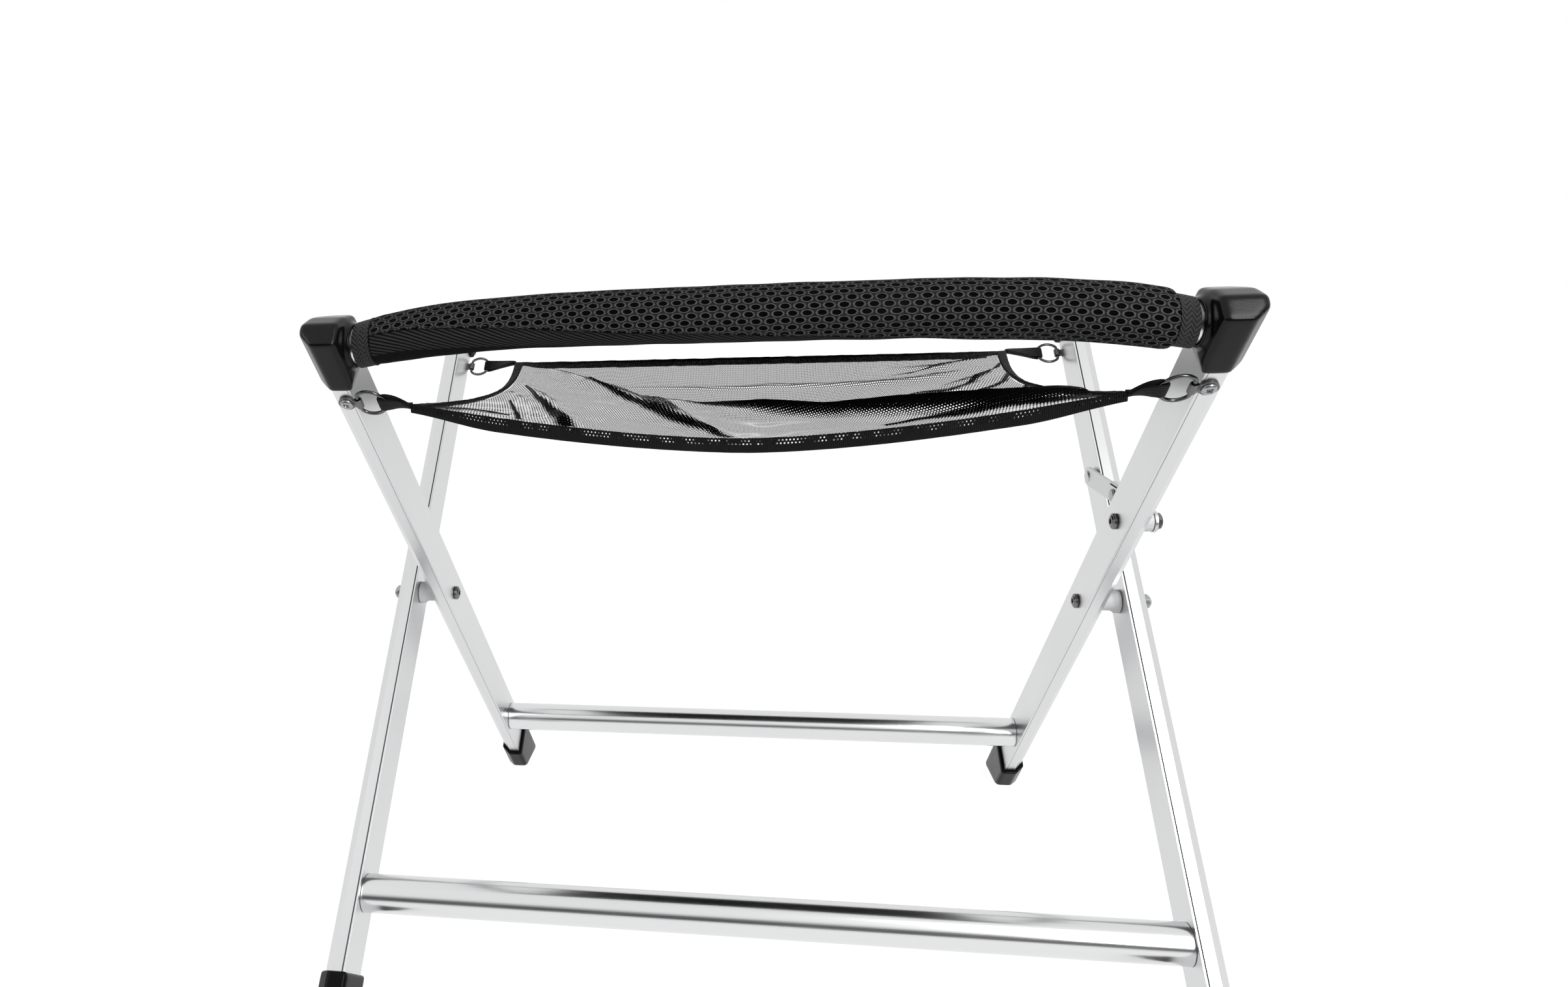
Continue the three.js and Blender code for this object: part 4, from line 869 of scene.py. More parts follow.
lip_section = ([(LOWER_X, 6.4 * mm)] + bend + [
    (UPPER_X + SHEET - 0.3 * mm, lip_top), (UPPER_X + SHEET, lip_top - 0.3 * mm),
    (UPPER_X + SHEET, lip_bottom + 0.3 * mm), (UPPER_X + SHEET - 0.3 * mm, lip_bottom),
    (LOWER_X + SHEET + 0.2 * mm, lip_bottom), (LOWER_X + SHEET, lip_bottom - 0.2 * mm), (LOWER_X + SHEET, 6.4 * mm)])
lip = make("lip", [[lower_axes @ Vector((x, y, z)) for x, z in lip_section]
                   for y in (knuckle - 7 * mm, knuckle + 7 * mm)], link_metal, smooth=35)
stands_for(joined("stay_lower_sheet", [lower_plate, lip]), "frame_aluminium", "stay_lower_link")

upper_plate = plate("upper_plate", [
    half_round(0, -math.pi / 2, LINK_RADIUS) + half_round(-upper_run, math.pi / 2, LINK_RADIUS),
    round_hole(-upper_run, 0, 2.8 * mm),
], UPPER_X, UPPER_X + SHEET, upper_axes, link_metal)
set_head = [(0, 1.5), (2.2, 1.46), (3.2, 1.3), (3.9, 1.0), (4.4, 0.6), (4.6, 0.2), (4.6, -0.4), (0, -0.4)]
head = turned("upper_head", set_head, upper_axes @ facing(UPPER_X, 0, 0, "left"), link_metal)
stands_for(joined("stay_upper_sheet", [upper_plate, head]), "frame_aluminium", "stay_upper_link")
print("stay length:", round(run.length * 1000, 1), "mm")

# %% Rivets, bolt, bush and nut of the stay
head_at, collar_at = LOWER_X - GAP, UPPER_X + SHEET + GAP
span = (collar_at - head_at) / mm
crown = [(4.6, 0.0), (4.6, 0.5), (4.4, 0.9), (3.9, 1.2), (3.2, 1.4), (2.2, 1.5), (0, 1.5)]
shank = [(radius, -span - height) for radius, height in reversed(crown)] + [(2.5, -span), (2.5, 0)]
knuckle_rivet = turned("knuckle_set_rivet", shank + crown, lower_axes @ facing(head_at, knuckle, 0, "left"), zinc)
stands_for(knuckle_rivet, "zinc_steel", "stay_knuckle_rivet")
reach, tail = (OUTER_FACE - GAP - collar_at) / mm, (OUTER_FACE + 1.5 * mm + GAP - collar_at) / mm
leg_rivet = turned("stay_set_rivet", [
    (0, 0), (4.3, 0), (4.6, 0.2), (4.6, reach), (2.5, reach), (2.5, tail), (3.68, tail), (3.68, tail + 0.8),
    (2.6, tail + 1.35), (0, tail + 1.4),
], upper_axes @ facing(collar_at, 0, 0, "right"), zinc)
stands_for(leg_rivet, "zinc_steel", "stay_rivet")
nut_at = LOWER_X + SHEET + GAP
stay_bolt = socket_bolt("stay_socket_bolt", lower_axes @ facing(INNER_FACE - GAP, 0, 0, "left"),
                        nut_at + 3.2 * mm - (INNER_FACE - GAP), dark_zinc)
stands_for(stay_bolt, "dark_steel", "stay_bolt")
stay_nut = lock_nut("stay_lock_nut", lower_axes @ facing(nut_at, 0, 0, "right"), 3.2, dark_zinc)
stands_for(stay_nut, "zinc_steel", "stay_nut")
length = (head_at - bush_start) / mm
stay_bush = turned("stay_round_bush", [
    (3.3, 0), (6.2, 0), (6.5, 0.3), (6.5, length - 0.3), (6.2, length), (3.3, length),
], lower_axes @ facing(bush_start, 0, 0, "right"), pale_plastic, loop=True)
stands_for(stay_bush, "pale_bush", "stay_bush")
print("the stay's rivets, bolt, bush and nut made")

# %% [markdown]
# ## Spacer mesh and twill
# The sling is spacer mesh: two knitted faces with a springy layer between them. The outer face
# is an open knit of oval holes in staggered rows, and its underside is closed with ribbed twill
# tape. Both are patterns over the cloth map. One rounded distance from the nearest hole's
# centre gives the hole, its rim and its shade at the same time. The colour holds painted light:
# painted shade in the holes and in the fold at the seam, and painted highlights on the rims
# and on the yarn's crests.

# %% The sling's material
def staggered(u, v, pitch, row, half_width, half_height):
    """Distance from the nearest hole's centre: 1 on the hole's edge."""
    line = v / row
    shift = (line.whole() * 0.5).fraction()
    across = ((u / pitch + shift).fraction() - 0.5) * (pitch / half_width)
    along = (line.fraction() - 0.5) * (row / half_height)
    return (across * across + along * along).root()


def twill(u, v, pitch, slope):
    """Height of slanted ribs, from 0 to 1."""
    return ((u * math.cos(slope) + v * math.sin(slope)) * (2 * math.pi / pitch)).wave() * 0.5 + 0.5


def sling_material():
    finish = Finish("spacer_mesh_and_twill")
    u, v = finish.cloth_place()
    below, inset = finish.cloth_place("edge")
    drift = finish.cloud(0.012, detail=2.0)
    u, v = u + (drift - 0.5) * 0.0012, v + (drift - 0.5) * 0.0008
    hole = staggered(u, v, 0.0074, 0.0037, 0.00220, 0.00128)
    open_share = 1 - hole.step(0.86, 1.06)
    rim = 1 - ((hole - 1.28).size() * 3.4).least(1.0)
    ply = twill(u, v, 0.00105, 0.55) * twill(u, v, 0.00105, -0.55)
    knit = hole.step(0.6, 1.15) * 0.75 + rim * 0.25 + ply * 0.2
    ribs = twill(u, below, 0.0019, 1.92)
    thread = twill(u, below, 0.00055, 0.35)
    tape = ribs * 0.8 + thread * 0.12
    plain = twill(u, v, 0.0009, 0.0) * twill(u, v, 0.0009, 1.5708)
    on_tape = below.step(-0.0001, 0.0001)
    on_lining = below.step(0.0119, 0.0123)
    stitch = ((u / 0.0034).fraction() - 0.5).size().step(0.40, 0.34)
    stitch = stitch * (1 - ((below + 0.0013) * 2200).size().least(1.0)).step(0.2, 0.6)
    height = between(between(knit, tape * 0.32, on_tape), plain * 0.14, on_lining) + stitch * 0.4
    fold = 1 - (below.size() * 1300).least(1.0)
    lint = finish.cloud(0.05, detail=5.0)
    fine = finish.cloud(0.0012, detail=2.0)
    # Painted shade: the holes are nearly black, as the shade inside each hole.
    mesh_color = finish.blend(open_share, (0.010, 0.010, 0.0104), (0.0006, 0.0006, 0.0006))
    # Painted light: the yarn's crests between the holes are lighter, as where light falls on them.
    mesh_color = finish.blend(ply * (1 - open_share) * 0.45, mesh_color, (0.085, 0.085, 0.088))
    # Painted highlight: a lighter ring round each hole, as light catching its rim.
    mesh_color = finish.blend(rim * (1 - open_share) * 0.8, mesh_color, (0.15, 0.15, 0.154))
    tape_color = finish.blend(ribs, (0.0015, 0.0015, 0.0015), (0.042, 0.042, 0.043))
    lining_color = finish.blend(plain, (0.004, 0.004, 0.004), (0.014, 0.014, 0.0145))
    color = finish.blend(on_tape, mesh_color, tape_color)
    color = finish.blend(on_lining, color, lining_color)
    color = finish.blend(stitch, color, (0.06, 0.06, 0.062))
    # Painted shade: the fold along the seam is darkened, as shade in the crease.
    color = finish.blend(fold * 0.75, color, (0.002, 0.002, 0.002))
    color = finish.blend(lint.step(0.5, 0.85) * 0.12 + fine * 0.05, color, (0.05, 0.05, 0.052))
    finish.set(Base_Color=color, Roughness=fine * 0.2 + 0.55, Specular_IOR_Level=0.02)
    finish.set(Normal=finish.bump(height, 0.0014, 1.0))
    return finish.material


spacer_mesh = sling_material()
print("hole pitch 7.4 mm, rows 3.7 mm apart")

# %% [markdown]
# ## Sling seat
# One padded panel goes round both rails. Its outside is a grid of sections: each section starts
# at the seam under the near rail, runs up over the sleeve, across the slack middle, round the
# far rail and back underneath. The seam spirals: it shows in front on the left and slides out
# of sight on the right, as the photograph shows. Two bores let the rails through.

# %% Sections of the sling
SLEEVE, PANEL_UNDER, PAD_END, SAG, SIDE_DRAW = 15.5 * mm, 7.5 * mm, 211.1 * mm, 4 * mm, 9 * mm
RAIL_BORE, CLOTH_RADIUS, PLY = RAIL_RADIUS + 0.35 * mm, 15 * mm, 0.45 * mm
sleeve_stops = [(-0.2111, 13.3 * mm), (-0.204, 13.8 * mm), (-0.186, 14.2 * mm), (-0.15, 14.4 * mm),
                (-0.06, 14.9 * mm), (0.04, 15.2 * mm), (0.12, 15.4 * mm), (0.19, 15.7 * mm),
                (0.207, 15.4 * mm), (0.2111, 14.9 * mm)]
seam_stops = [(-0.2111, 14), (-0.19, 12), (-0.17, 4), (-0.15, -3), (-0.12, -13), (-0.09, -25), (-0.06, -33),
              (-0.03, -39), (0.0, -46), (0.03, -54), (0.06, -63), (0.09, -74), (0.12, -86), (0.16, -98),
              (0.2111, -104)]


def rail_centre(x, end):
    """Y and z of a rail's axis at x, over the floor."""
    face, axes, way = (INNER_FACE, inner_axes, 1) if end == "near" else (OUTER_FACE, outer_axes, -1)
    place = axes @ Vector((way * x, 0, RAIL_REACH + arch(x, face)))
    return place.y, place.z


def unevenness(x, turn):
    return PLY * noise.noise(Vector((x * 38, math.cos(turn) * 1.3, math.sin(turn) * 1.3)))


def sling_section(x):
    """Points round the sling at x, their places on the cloth, and their distance below the seam."""
    radius, seam = table(sleeve_stops, x), math.radians(table(seam_stops, x))
    over = max(0.0, (abs(x) - (PAD_END - 2 * mm)) / (2 * mm))
    tuck = 1.6 * mm * (1 - math.sqrt(max(0.0, 1 - over * over)))
    near_y, near_z = rail_centre(x, "near")
    far_y, far_z = rail_centre(x, "far")
    meet = math.asin(PANEL_UNDER / SLEEVE)
    points, places, edges = [], [], []

    def add(y, z, v, below):
        centre = (near_y + far_y) / 2
        across = max(-1.0, min(1.0, (y - centre) / ((far_y - near_y) / 2 - SLEEVE)))
        middle = 1 - across * across
        points.append(Vector((x * (1 - middle * SIDE_DRAW / PAD_END), y, z - middle * SAG)))
        places.append((x, v))
        edges.append((below, PAD_END - abs(x)))

    for step in range(27):
        turn = between(seam, math.pi / 2, step / 26)
        away = (turn - seam) * radius
        lift = PLY * (1 - eased(away / (3 * mm))) + unevenness(x, turn)
        reach = radius - tuck + lift
        add(near_y - reach * math.cos(turn), near_z + reach * math.sin(turn),
            (turn - math.pi / 2) * CLOTH_RADIUS, -away)
    for step in range(1, 50):
        y = between(near_y, far_y, step / 50)
        soft = 0.8 * mm * noise.noise(Vector((x * 21, y * 26, 3.1))) * math.sin(math.pi * step / 50)
        add(y, between(near_z, far_z, step / 50) + radius - tuck + soft, y - near_y, -0.04)
    for step in range(42):
        turn = between(math.pi / 2, -math.pi - meet, step / 41)
        reach = radius - tuck + unevenness(x, turn + 9)
        below = max(0.0, -math.pi / 3 - turn) * radius
        add(far_y + reach * math.cos(turn), far_z + reach * math.sin(turn),
            far_y - near_y + (math.pi / 2 - turn) * CLOTH_RADIUS, below if below else -0.01)
    start, stop = points[-1].y, near_y + math.cos(meet) * (radius - tuck)
    for step in range(1, 44):
        y = between(start, stop, step / 44)
        soft = 0.6 * mm * noise.noise(Vector((x * 21, y * 26, 8.4))) * math.sin(math.pi * step / 44)
        add(y, between(far_z, near_z, step / 44) + PANEL_UNDER * radius / SLEEVE + tuck + soft, y - near_y, 0.05)
    for step in range(36):
        turn = between(-math.pi - meet, seam, step / 35)
        away = (seam - turn) * radius
        dent = 0.5 * mm * eased(away / (0.8 * mm)) * (1 - eased((away - 1.2 * mm) / (5 * mm)))
        lift = PLY * (1 - eased(away / (0.5 * mm)))
        reach = radius - tuck + lift - dent + unevenness(x, turn)
        add(near_y - reach * math.cos(turn), near_z + reach * math.sin(turn), turn * CLOTH_RADIUS, away)
    return points, places, edges


def close_ends(shape):
    """Fills each end between the outside and the two bores."""
    rim = [edge for edge in shape.edges if edge.is_boundary]
    for side in (-1, 1):
        loops = [edge for edge in rim if edge.verts[0].co.x * side > 0]
        filled = bmesh.ops.triangle_fill(shape, use_beauty=True, use_dissolve=False, edges=loops)
        for face in filled["geom"]:
            if isinstance(face, bmesh.types.BMFace):
                for loop in face.loops:
                    loop[shape.loops.layers.uv["edge"]].uv = (0.05, 0)
    bmesh.ops.recalc_face_normals(shape, faces=shape.faces)


def sling():
    stations = [PAD_END * math.sin(math.pi / 2 * (i / 78 - 1)) for i in range(157)]
    points, places, edges = zip(*(sling_section(x) for x in stations))
    pieces = [woven("outside", points, {"cloth": places, "edge": edges}, spacer_mesh)]
    sides = 40
    for end in ("near", "far"):
        rings = []
        for x in stations:
            y, z = rail_centre(x, end)
            rings.append([Vector((x, y + RAIL_BORE * math.cos(turn), z + RAIL_BORE * math.sin(turn)))
                          for turn in (2 * math.pi * i / sides for i in range(sides + 1))])
        maps = {"cloth": [[(0.0, 0.0)] * (sides + 1)] * len(stations),
                "edge": [[(0.05, 0.0)] * (sides + 1)] * len(stations)}
        pieces.append(woven("bore", rings, maps, spacer_mesh))
    return joined("padded_sling_seat", pieces, close_ends)


# %% Sew the sling
seat = sling()
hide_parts("sling_seat")
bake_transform(seat)
print("sling points:", len(seat.data.vertices))

# %% [markdown]
# ## Tape
# Straps, hems and collars are woven tape. Seen close, tape is a row of fine ribs with a fuzzy
# edge, so its height is a wave over the cloth map. The ribs run along the straps, across the
# hems and in a herringbone round the collars. The front hem is turned up over the net, and
# its upper half is so open that light comes through.

# %% Tape materials
def tape_material(name, pattern, shade=0.012, open_above=None):
    """Woven tape. Small holes open it above a distance from its middle, if one is given."""
    finish = Finish(name)
    u, v = finish.cloth_place()
    ribs = pattern(u, v)
    lint = finish.cloud(0.02, detail=5.0)
    fuzz = finish.cloud(0.0009, detail=3.0)
    color = finish.blend(ribs * 0.8 + fuzz * 0.2, (shade * 0.25,) * 3, (shade * 1.5,) * 3)
    color = finish.blend(lint.step(0.5, 0.85) * 0.15, color, (0.04, 0.04, 0.042))
    finish.set(Base_Color=color, Roughness=fuzz * 0.3 + 0.5, Specular_IOR_Level=0.14,
               Sheen_Weight=0.03, Sheen_Roughness=0.5)
    finish.set(Normal=finish.bump(ribs + fuzz * 0.35, 0.000484, 1.0))
    if open_above is not None:
        hole = staggered(v, u, 0.0022, 0.0019, 0.00056, 0.00050)
        patchy = finish.cloud(0.008, detail=2.0).step(0.42, 0.58)
        opened = (1 - hole.step(0.85, 1.05)) * u.step(open_above, open_above + 0.0004) * patchy
        finish.set(Alpha=1 - opened)
    return finish.material


def ribbed(pitch, slope):
    return lambda u, v: twill(u, v, pitch, slope)


def herringbone(u, v, band=0.0052):
    side = (v / band).fraction() - 0.5
    return ((u * 0.8 + side.size() * band) * (2 * math.pi / 0.0021)).wave() * 0.5 + 0.5


strap_tape = tape_material("strap_tape", ribbed(0.0012, 0.0))
hem_tape = tape_material("hem_tape", ribbed(0.0011, math.pi / 2))
collar_tape = tape_material("collar_tape", herringbone, 0.036)
front_tape = tape_material("front_hem_tape", ribbed(0.0011, math.pi / 2), open_above=-0.0004)
print("four weaves of tape made")

# %% [markdown]
# ## Collars
# Where the padded sleeve ends, a band of herringbone tape is sewn round it and closes it on the
# rail. The band follows the rail's bend and thins towards its free edge.

# %% Webbing collars
def collar(name, end, sign):
    # Stations over the band: the share of its width, and its thickness in millimetres.
    profile = [(0.0, 2.0), (0.02, 2.25), (0.06, 2.2), (0.12, 1.95), (0.5, 1.9), (0.8, 1.75), (0.93, 1.8),
               (0.98, 1.7), (1.0, 1.4), (1.0, 0.0), (0.5, 0.0), (0.0, 0.0)]
    rows, places = [], []
    for share, thick in profile:
        x = sign * between(COLLAR_START, COLLAR_END, share)
        y, z = rail_centre(x, end)
        row, flat = [], []
        for i in range(57):
            turn = 2 * math.pi * i / 56
            wave = 0.12 * mm * math.sin(3 * turn + sign) if thick > 0 else 0.0
            reach = RAIL_BORE + thick * mm + wave
            row.append(Vector((x, y + reach * math.cos(turn), z + reach * math.sin(turn))))
            flat.append((turn * 13 * mm, between(0, COLLAR_END - COLLAR_START, share)))
        rows.append(row)
        places.append(flat)
    return woven(name, rows + rows[:1], {"cloth": places + places[:1]}, collar_tape)


for end, _, _, _, side, sign, _ in CORNERS:
    stands_for(collar(f"{end}_tape_collar_{side}", end, sign), "black_webbing", f"{end}_collar_{side}")
print("collar width:", round((COLLAR_END - COLLAR_START) * 1000, 1), "mm")

# %% [markdown]
# ## Storage net
# The net hangs between four hooks, so it droops in the middle and gathers into creases that run
# from the corners. Its shape is one formula over two shares: u from side to side and v from the
# near edge to the far one. The creases are ridges along lines, and because the net is seen at a
# low angle, each ridge puts several layers behind one another and reads as a dark band. The
# cloth is two faces a fraction of a millimetre apart, as thick as the knitted cord, with the
# holes cut out by Alpha. That way it turns darker by itself where it is seen edge on.

# %% The net's shape
RING_Y = LUG_Z * math.sin(LEAN) - LUG_Y * math.cos(LEAN)
RING_Z = pivot.z + LUG_Z * math.cos(LEAN) + LUG_Y * math.sin(LEAN)
NEAR_HALF, FAR_HALF = INNER_FACE - 31 * mm, OUTER_FACE - 51 * mm
NEAR_Y, FAR_Y, NEAR_Z, FAR_Z = 11.8 * mm - RING_Y, RING_Y - 26.8 * mm, RING_Z - 3.3 * mm, RING_Z + 3.7 * mm
SIDE_HOLLOW, SIDE_SAG, FRONT_BOW, FRONT_DROP, BELLY = 15 * mm, 9 * mm, 22 * mm, 26 * mm, 8 * mm
ACROSS, ALONG = 205, 290  # millimetres on the cloth that u and v stand for
# Soft folds: where each lies, how it runs, how wide and how high it is.
folds = [(-0.42, 0.36, -0.75, 0.09, 1.0), (0.22, 0.42, 0.1, 0.07, 0.9), (0.62, 0.3, 0.35, 0.08, 0.8),
         (-0.7, 0.3, -0.9, 0.06, 0.5)]
# Lines of creases in u and v, with the height in millimetres and half the width at each point.
creases = [
    [(-0.86, 0.90, 1, 6), (-0.68, 0.73, 5, 8), (-0.5, 0.58, 8, 9), (-0.3, 0.33, 9, 9), (-0.12, 0.10, 4, 7)],
    [(-0.42, 0.60, 1, 6), (-0.2, 0.51, 4, 7), (0.03, 0.41, 7, 9), (0.35, 0.31, 10, 11), (0.55, 0.23, 11, 12),
     (0.75, 0.17, 11, 11), (0.92, 0.14, 6, 9), (1.0, 0.08, 2, 6)],
    [(-0.93, 0.66, 2, 5), (-0.75, 0.37, 7, 8), (-0.57, 0.07, 5, 8)],
    [(-0.93, 0.50, 2, 5), (-0.82, 0.33, 5, 6), (-0.70, 0.15, 3, 6)],
    [(-0.7, 0.71, 1, 4), (-0.27, 0.70, 2.2, 4), (0.12, 0.715, 2.6, 4), (0.5, 0.69, 3.2, 5), (0.75, 0.71, 3.6, 6),
     (0.97, 0.82, 1.2, 5)],
    [(0.55, 0.45, 2, 6), (0.75, 0.47, 5.5, 7), (0.96, 0.64, 2, 6)],
    [(0.5, 0.84, 1, 5), (0.75, 0.80, 4.5, 7), (0.93, 0.92, 1.2, 5)],
    [(0.72, 0.58, 2, 5), (0.84, 0.62, 4.5, 6), (0.97, 0.74, 1.6, 5)],
]


def smooth_fold(u, v):
    total = 0.0
    for at_u, at_v, run, width, height in folds:
        length = math.hypot(1, run)
        across = ((v - at_v) - run * (u - at_u) * 0.5) / length
        along = ((u - at_u) + run * (v - at_v)) / length
        total += height * math.exp(-(across / width) ** 2 - (along / 0.45) ** 2)
    return total * math.sin(math.pi * v) * (1 - u * u)


def crease(u, v):
    """Height in metres of the sharp ridges at a point of the net."""
    total = 0.0
    for line in creases:
        found = []
        for (u0, v0, h0, w0), (u1, v1, h1, w1) in zip(line, line[1:]):
            du, dv = (u1 - u0) * ACROSS, (v1 - v0) * ALONG
            off_u, off_v = (u - u0) * ACROSS, (v - v0) * ALONG
            share = max(0.0, min(1.0, (off_u * du + off_v * dv) / (du * du + dv * dv)))
            away = math.hypot(off_u - du * share, off_v - dv * share)
            found.append((away, between(h0, h1, share), between(w0, w1, share)))
        away, height, width = min(found, key=lambda near: near[0])
        total += height * math.exp(-abs(away / width) ** 1.6)
    return total * mm


def net_point(u, v, plain=False):
    """A point of the net. The plain one is without creases, as the hems are."""
    middle, trough = 1 - u * u, math.sin(math.pi * v)
    half = between(NEAR_HALF, FAR_HALF, v) - SIDE_HOLLOW * trough
    near = NEAR_Y + FRONT_BOW * middle
    drop = FRONT_DROP * (1 - abs(u) ** 1.7) * (1 - v) ** 1.5
    height = (between(NEAR_Z, FAR_Z, v) - drop - SIDE_SAG * trough - BELLY * trough * middle
              + 6 * mm * smooth_fold(u, v))
    if not plain:
        edge = eased(v / 0.06) * eased((1 - v) / 0.05) * eased((1 - abs(u)) / 0.05)
        height += edge * (crease(u, v) + 0.9 * mm * noise.noise(Vector((u * 9, v * 7, 4.2))))
    return Vector((u * half, between(near, FAR_Y, v), height))


# %% The net's material and cloth
def net_material():
    finish = Finish("open_net")
    u, v = finish.cloth_place()
    # Where the cloth is doubled, its folds lie tight and the holes close towards the middle.
    from_fold = finish.cloth_place("edge")[0].size()
    hole = staggered(u, v, 0.0018, 0.0026, 0.00072, 0.00120) / (from_fold.step(0.25, 1.0) * 1.1 + 0.15)
    solid = hole.step(0.88, 1.04)
    lint = finish.cloud(0.03, detail=4.0)
    finish.set(Base_Color=finish.blend(lint, (0.002, 0.002, 0.002), (0.008, 0.008, 0.0082)),
               Roughness=lint * 0.2 + 0.5, Alpha=solid, Specular_IOR_Level=0.2)
    finish.set(Normal=finish.bump(hole.least(1.6), 0.0003, 0.6))
    finish.material.surface_render_method = "DITHERED"
    return finish.material


open_net = net_material()
FRONT_HEM, SIDE_HEM, FAR_HEM, NET_THICKNESS = 9 * mm, 7 * mm, 7 * mm, 0.6 * mm
HEM = 2.2 * mm
BOUND_HEM = HEM * 1.3
net_length = FAR_Y - NEAR_Y
side_share, far_share = (SIDE_HEM + GAP) / NEAR_HALF, (FAR_HEM + GAP) / net_length

# Lines where the cloth doubles over itself, with half the doubled width in millimetres.
pleats = [
    [(-0.84, 0.90, 0.8), (-0.66, 0.72, 2), (-0.5, 0.54, 3.4), (-0.38, 0.36, 4.4), (-0.25, 0.22, 5.2),
     (-0.1, 0.07, 5.4), (-0.05, 0.02, 5)],
    [(-0.42, 0.60, 0.8), (-0.2, 0.53, 5), (0.03, 0.41, 11), (0.3, 0.32, 17), (0.55, 0.23, 21),
     (0.78, 0.17, 24), (0.93, 0.14, 18), (0.985, 0.09, 8)],
    [(-0.90, 0.60, 1.2), (-0.79, 0.38, 2.6), (-0.66, 0.18, 4.4), (-0.56, 0.03, 7), (-0.54, 0.01, 7)],
    [(-0.88, 0.35, 1.2), (-0.76, 0.14, 2.2), (-0.70, 0.03, 3)],
    [(0.97, 0.82, 2), (0.90, 0.67, 3), (0.80, 0.56, 3.5), (0.68, 0.48, 3), (0.5, 0.43, 1)],
    [(0.98, 0.66, 2), (0.93, 0.55, 3.5), (0.82, 0.45, 4), (0.66, 0.39, 2)],
    [(0.98, 0.46, 2), (0.93, 0.36, 4), (0.84, 0.30, 3)],
    [(0.55, 0.77, 0.6), (0.75, 0.80, 1.5), (0.92, 0.90, 1)],
    [(-0.955, 0.02, 4), (-0.91, 0.07, 9), (-0.85, 0.10, 9), (-0.76, 0.10, 4)],
    [(0.955, 0.02, 4), (0.91, 0.07, 9), (0.80, 0.12, 14), (0.6, 0.12, 12), (0.4, 0.08, 6)],
]


def add_pleat(shape, line, number, over=0.9 * mm, steps=70, across=8):
    """A strip of net laid over the cloth along a line of points in u and v."""
    lengths = [0.0]
    for (u0, v0, _), (u1, v1, _) in zip(line, line[1:]):
        lengths.append(lengths[-1] + math.hypot((u1 - u0) * ACROSS, (v1 - v0) * ALONG))
    columns = [[(length, point[part]) for length, point in zip(lengths, line)] for part in range(3)]
    grid, places = [], []
    for i in range(steps + 1):
        run = lengths[-1] * i / steps
        u, v, half = (table(column, run) for column in columns)
        next_u, next_v = (table(column, min(lengths[-1], run + 1)) for column in columns[:2])
        last_u, last_v = (table(column, max(0.0, run - 1)) for column in columns[:2])
        du, dv = (next_u - last_u) * ACROSS, (next_v - last_v) * ALONG
        size = math.hypot(du, dv) or 1.0
        row, flat = [], []
        for j in range(across + 1):
            share = j / across * 2 - 1
            side_u, side_v = u - dv / size * half * share / ACROSS, v + du / size * half * share / ALONG
            side_u = max(side_share - 1, min(1 - side_share, side_u))
            side_v = max(0.002, min(1 - far_share, side_v))
            point = net_point(side_u, side_v)
            point.z += over * (1 - 0.6 * share * share) + 0.3 * mm * noise.noise(Vector((run / 9, share * 2, number)))
            row.append(point)
            flat.append((side_u * NEAR_HALF + 0.31 * over, side_v * net_length + 1.7 * over))
        grid.append(row)
        places.append(flat)
    edge = [(b / across * 2 - 1, 0.0) for b in range(across + 1)]
    lay(shape, grid, {"cloth": places, "edge": [edge] * (steps + 1)})


def raised(point, lift):
    point.z += lift
    return point


def net_cloth(columns=150, rows=120):
    across = [between(side_share - 1, 1 - side_share, i / columns) for i in range(columns + 1)]
    along = [between(GAP / net_length, 1 - far_share, r / rows) for r in range(rows + 1)]
    maps = {"cloth": [[(u * NEAR_HALF, v * net_length) for u in across] for v in along],
            "edge": [[(0.83, 0.0)] * len(across)] * len(along)}
    shape = bmesh.new()
    for lift in (NET_THICKNESS / 2, -NET_THICKNESS / 2):
        lay(shape, [[raised(net_point(u, v), lift) for u in across] for v in along], maps)
    # The edge all round joins the upper face to the lower one.
    bmesh.ops.bridge_loops(shape, edges=[edge for edge in shape.edges if edge.is_boundary])
    for number, line in enumerate(pleats):
        add_pleat(shape, line, number)
    bmesh.ops.recalc_face_normals(shape, faces=shape.faces)
    piece = from_shape("hanging_net", shape, open_net)
    piece.data.shade_smooth()
    return piece


net = net_cloth()
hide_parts("storage_net")
print("net holes 1.8 x 2.6 mm apart, points:", len(net.data.vertices))


# %% Hems
def bulge(u, phase):
    return 0.35 * mm * noise.noise(Vector((u * 30, phase, 0.5)))


hems, spots = [], []
for i in range(161):
    u = i / 80 - 1
    edge = net_point(u, 0, plain=True)
    deep = FRONT_HEM * between(0.6, 1.0, eased((1 - abs(u)) / 0.25))
    lean = Vector((0, 0.12 * math.sin(u * 7), 1)).normalized()
    middle = edge + Vector((0, -HEM / 2 + bulge(u, 1.0), HEM / 2 - deep / 2))
    spots.append((middle, lean * (deep / 2), Vector((0, -1, 0))))
hems.append(ribbon("net_front_hem", spots, HEM, front_tape))
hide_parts("net_near_hem")

spots = []
for i in range(121):
    u = i / 60 - 1
    front, back = net_point(u, 1 - FAR_HEM / net_length, plain=True), net_point(u, 1, plain=True)
    front.z -= 3.5 * mm * eased((1 - abs(u)) / 0.15)
    across = (back - front) / 2
    normal = Vector((1, 0, 0)).cross(across).normalized()
    spots.append(((front + back) / 2 + Vector((0, 0, bulge(u, 5.0))), across, normal))
hems.append(ribbon("net_back_hem", spots, HEM, hem_tape))
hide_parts("net_far_hem")

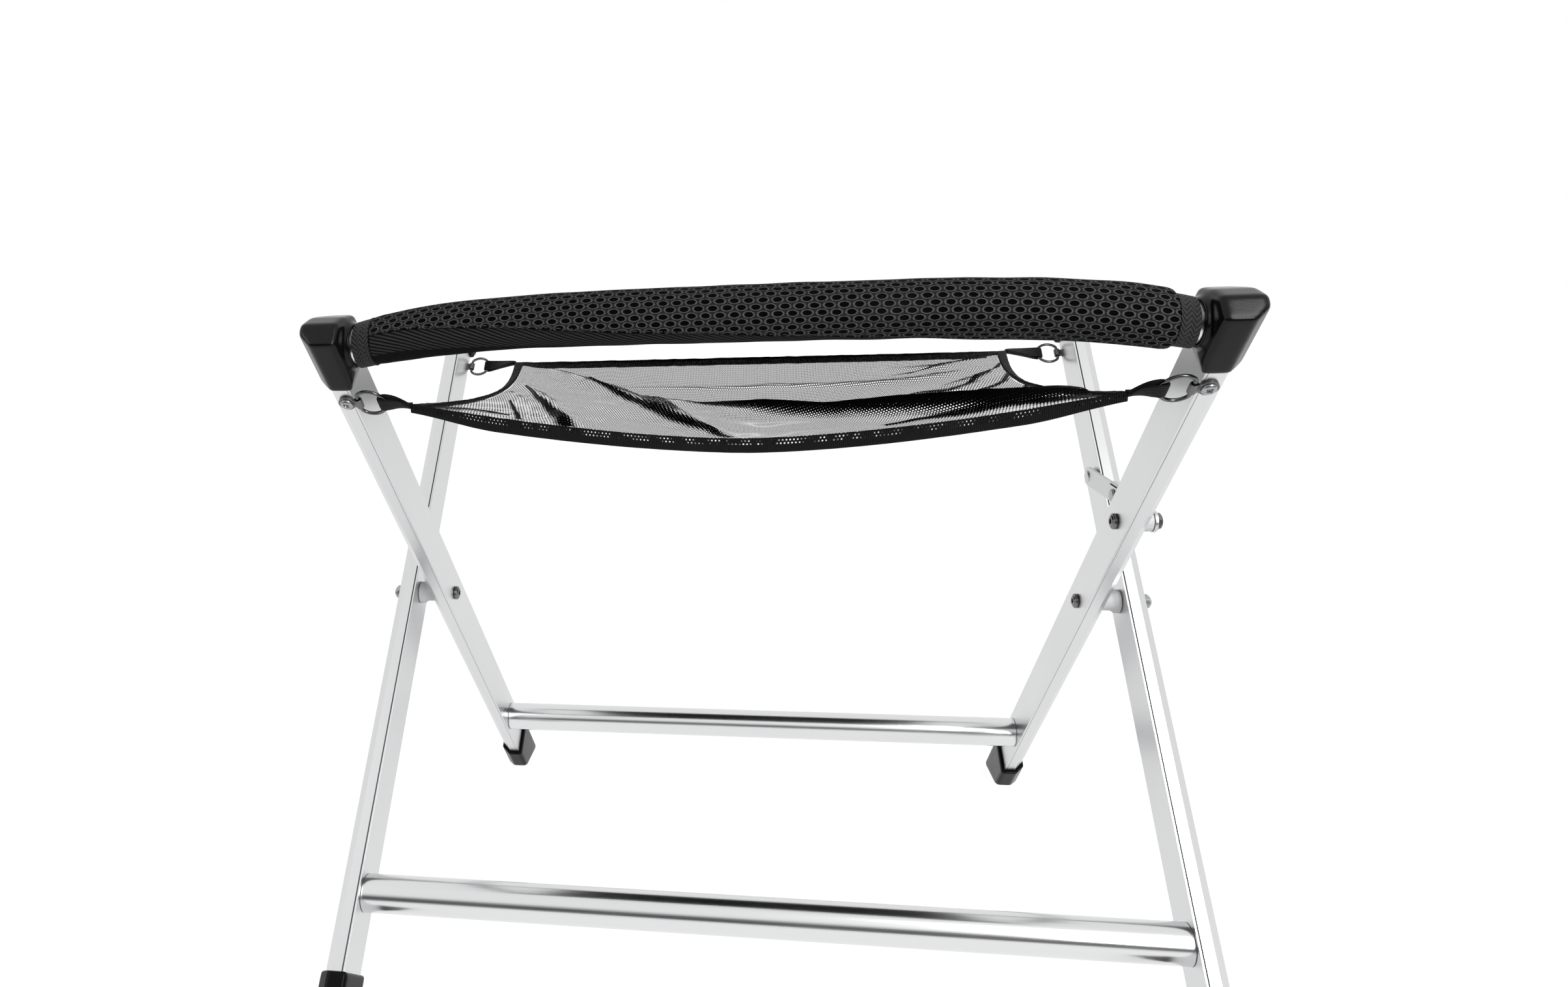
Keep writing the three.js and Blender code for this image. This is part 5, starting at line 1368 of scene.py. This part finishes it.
for side, sign in SIDES.items():
    spots = []
    for i in range(81):
        v = between(GAP / net_length, 1 - far_share, i / 80)
        inside, outside = (net_point(sign * share, v, plain=True) for share in (1 - SIDE_HEM / NEAR_HALF, 1))
        across = (outside - inside) / 2
        face = across.cross(Vector((0, 1, 0))).normalized()
        # The binding rolls outwards between its two corners, so more of its width is seen.
        roll = 0.5 * math.sin(math.pi * i / 80)
        rolled = across * math.cos(roll) + Vector((0, 0, -1)) * (across.length * math.sin(roll))
        spots.append(((inside + outside) / 2 + face * bulge(v * 2, sign * 3.0), rolled,
                      face if face.z > 0 else -face))
    hems.append(ribbon(f"net_bound_hem_{side}", spots, BOUND_HEM, hem_tape))
    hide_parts(f"net_side_hem_{side}")
print("hems sewn:", len(hems))

# %% [markdown]
# ## Straps
# Each corner of the net has a tape that loops through its ring and is sewn to itself. The route
# leaves the ring and reaches the corner straight, with a soft bend between, and the tape turns
# on the way because the ring lies along the leg and the net lies flat.

# %% Looped straps
STRAP, WIDE, NARROW, LEAD, SEWN = 1.5 * mm, 9 * mm, 7 * mm, 4.5 * mm, 0.55
DRAWN_STRAP = STRAP * 1.2  # so that the two plies touch where they are sewn


def looped_strap(name, ring_point, corner, inwards, legwise, netwise):
    end = corner - inwards * GAP
    controls = (ring_point, ring_point + inwards * LEAD, end - inwards * LEAD, end)
    bore = WIRE + 0.35 * mm
    backset = RING_RADIUS - math.sqrt(RING_RADIUS ** 2 - (WIDE / 2) ** 2)

    def on_route(share):
        a, b, c, d = controls
        rest = 1 - share
        point = a * rest ** 3 + b * 3 * rest * rest * share + c * 3 * rest * share * share + d * share ** 3
        heading = (b - a) * 3 * rest * rest + (c - b) * 6 * rest * share + (d - c) * 3 * share * share
        return point, heading.normalized()

    def spot(share, along, lift_by, face_turn):
        point, heading = on_route(share)
        across = legwise.lerp(netwise, share)
        across = (across - across.dot(heading) * heading).normalized()
        lift = heading.cross(across)
        face = heading * math.cos(face_turn) + lift * math.sin(face_turn)
        half = between(WIDE, NARROW, share) / 2
        return point + heading * along + lift * lift_by, across * half, face

    def inside(share):
        sewn = min(1.0, share / SEWN)
        return between(bore, GAP / 2, eased(sewn) * 0.6 + 0.4 * sewn)

    shares = [i / 14 for i in range(15)]
    spots = [spot(share, 0, inside(share) + STRAP / 2, math.pi / 2) for share in reversed(shares)]
    for i in range(1, 12):
        turn = math.pi / 2 + math.pi * i / 12
        spots.append(spot(0, (bore + STRAP / 2) * math.cos(turn) - backset * min(1.0, -2 * math.cos(turn)),
                          (bore + STRAP / 2) * math.sin(turn), turn))
    spots += [spot(share, 0, -inside(share) - STRAP / 2, -math.pi / 2) for share in shares]
    return ribbon(name, spots, DRAWN_STRAP, strap_tape)


for end, label, face, axes, side, sign, out in CORNERS:
    legwise = (axes.to_3x3() @ Vector((0, 0, 1))).normalized()
    ring_point = axes @ Vector((out * (face - LUG_OVERHANG - BAR_INSET - RING_RADIUS), LUG_Y, LUG_Z))
    corner = net_point(sign, 0 if end == "near" else 1, plain=True)
    strap = looped_strap(f"{end}_tape_strap_{side}", ring_point, corner, Vector((-sign, 0, 0)), legwise,
                         Vector((0, -sign * out, 0)))
    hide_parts(f"{end}_strap_{side}")
    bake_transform(strap)
for cloth in (net, *hems):
    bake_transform(cloth)
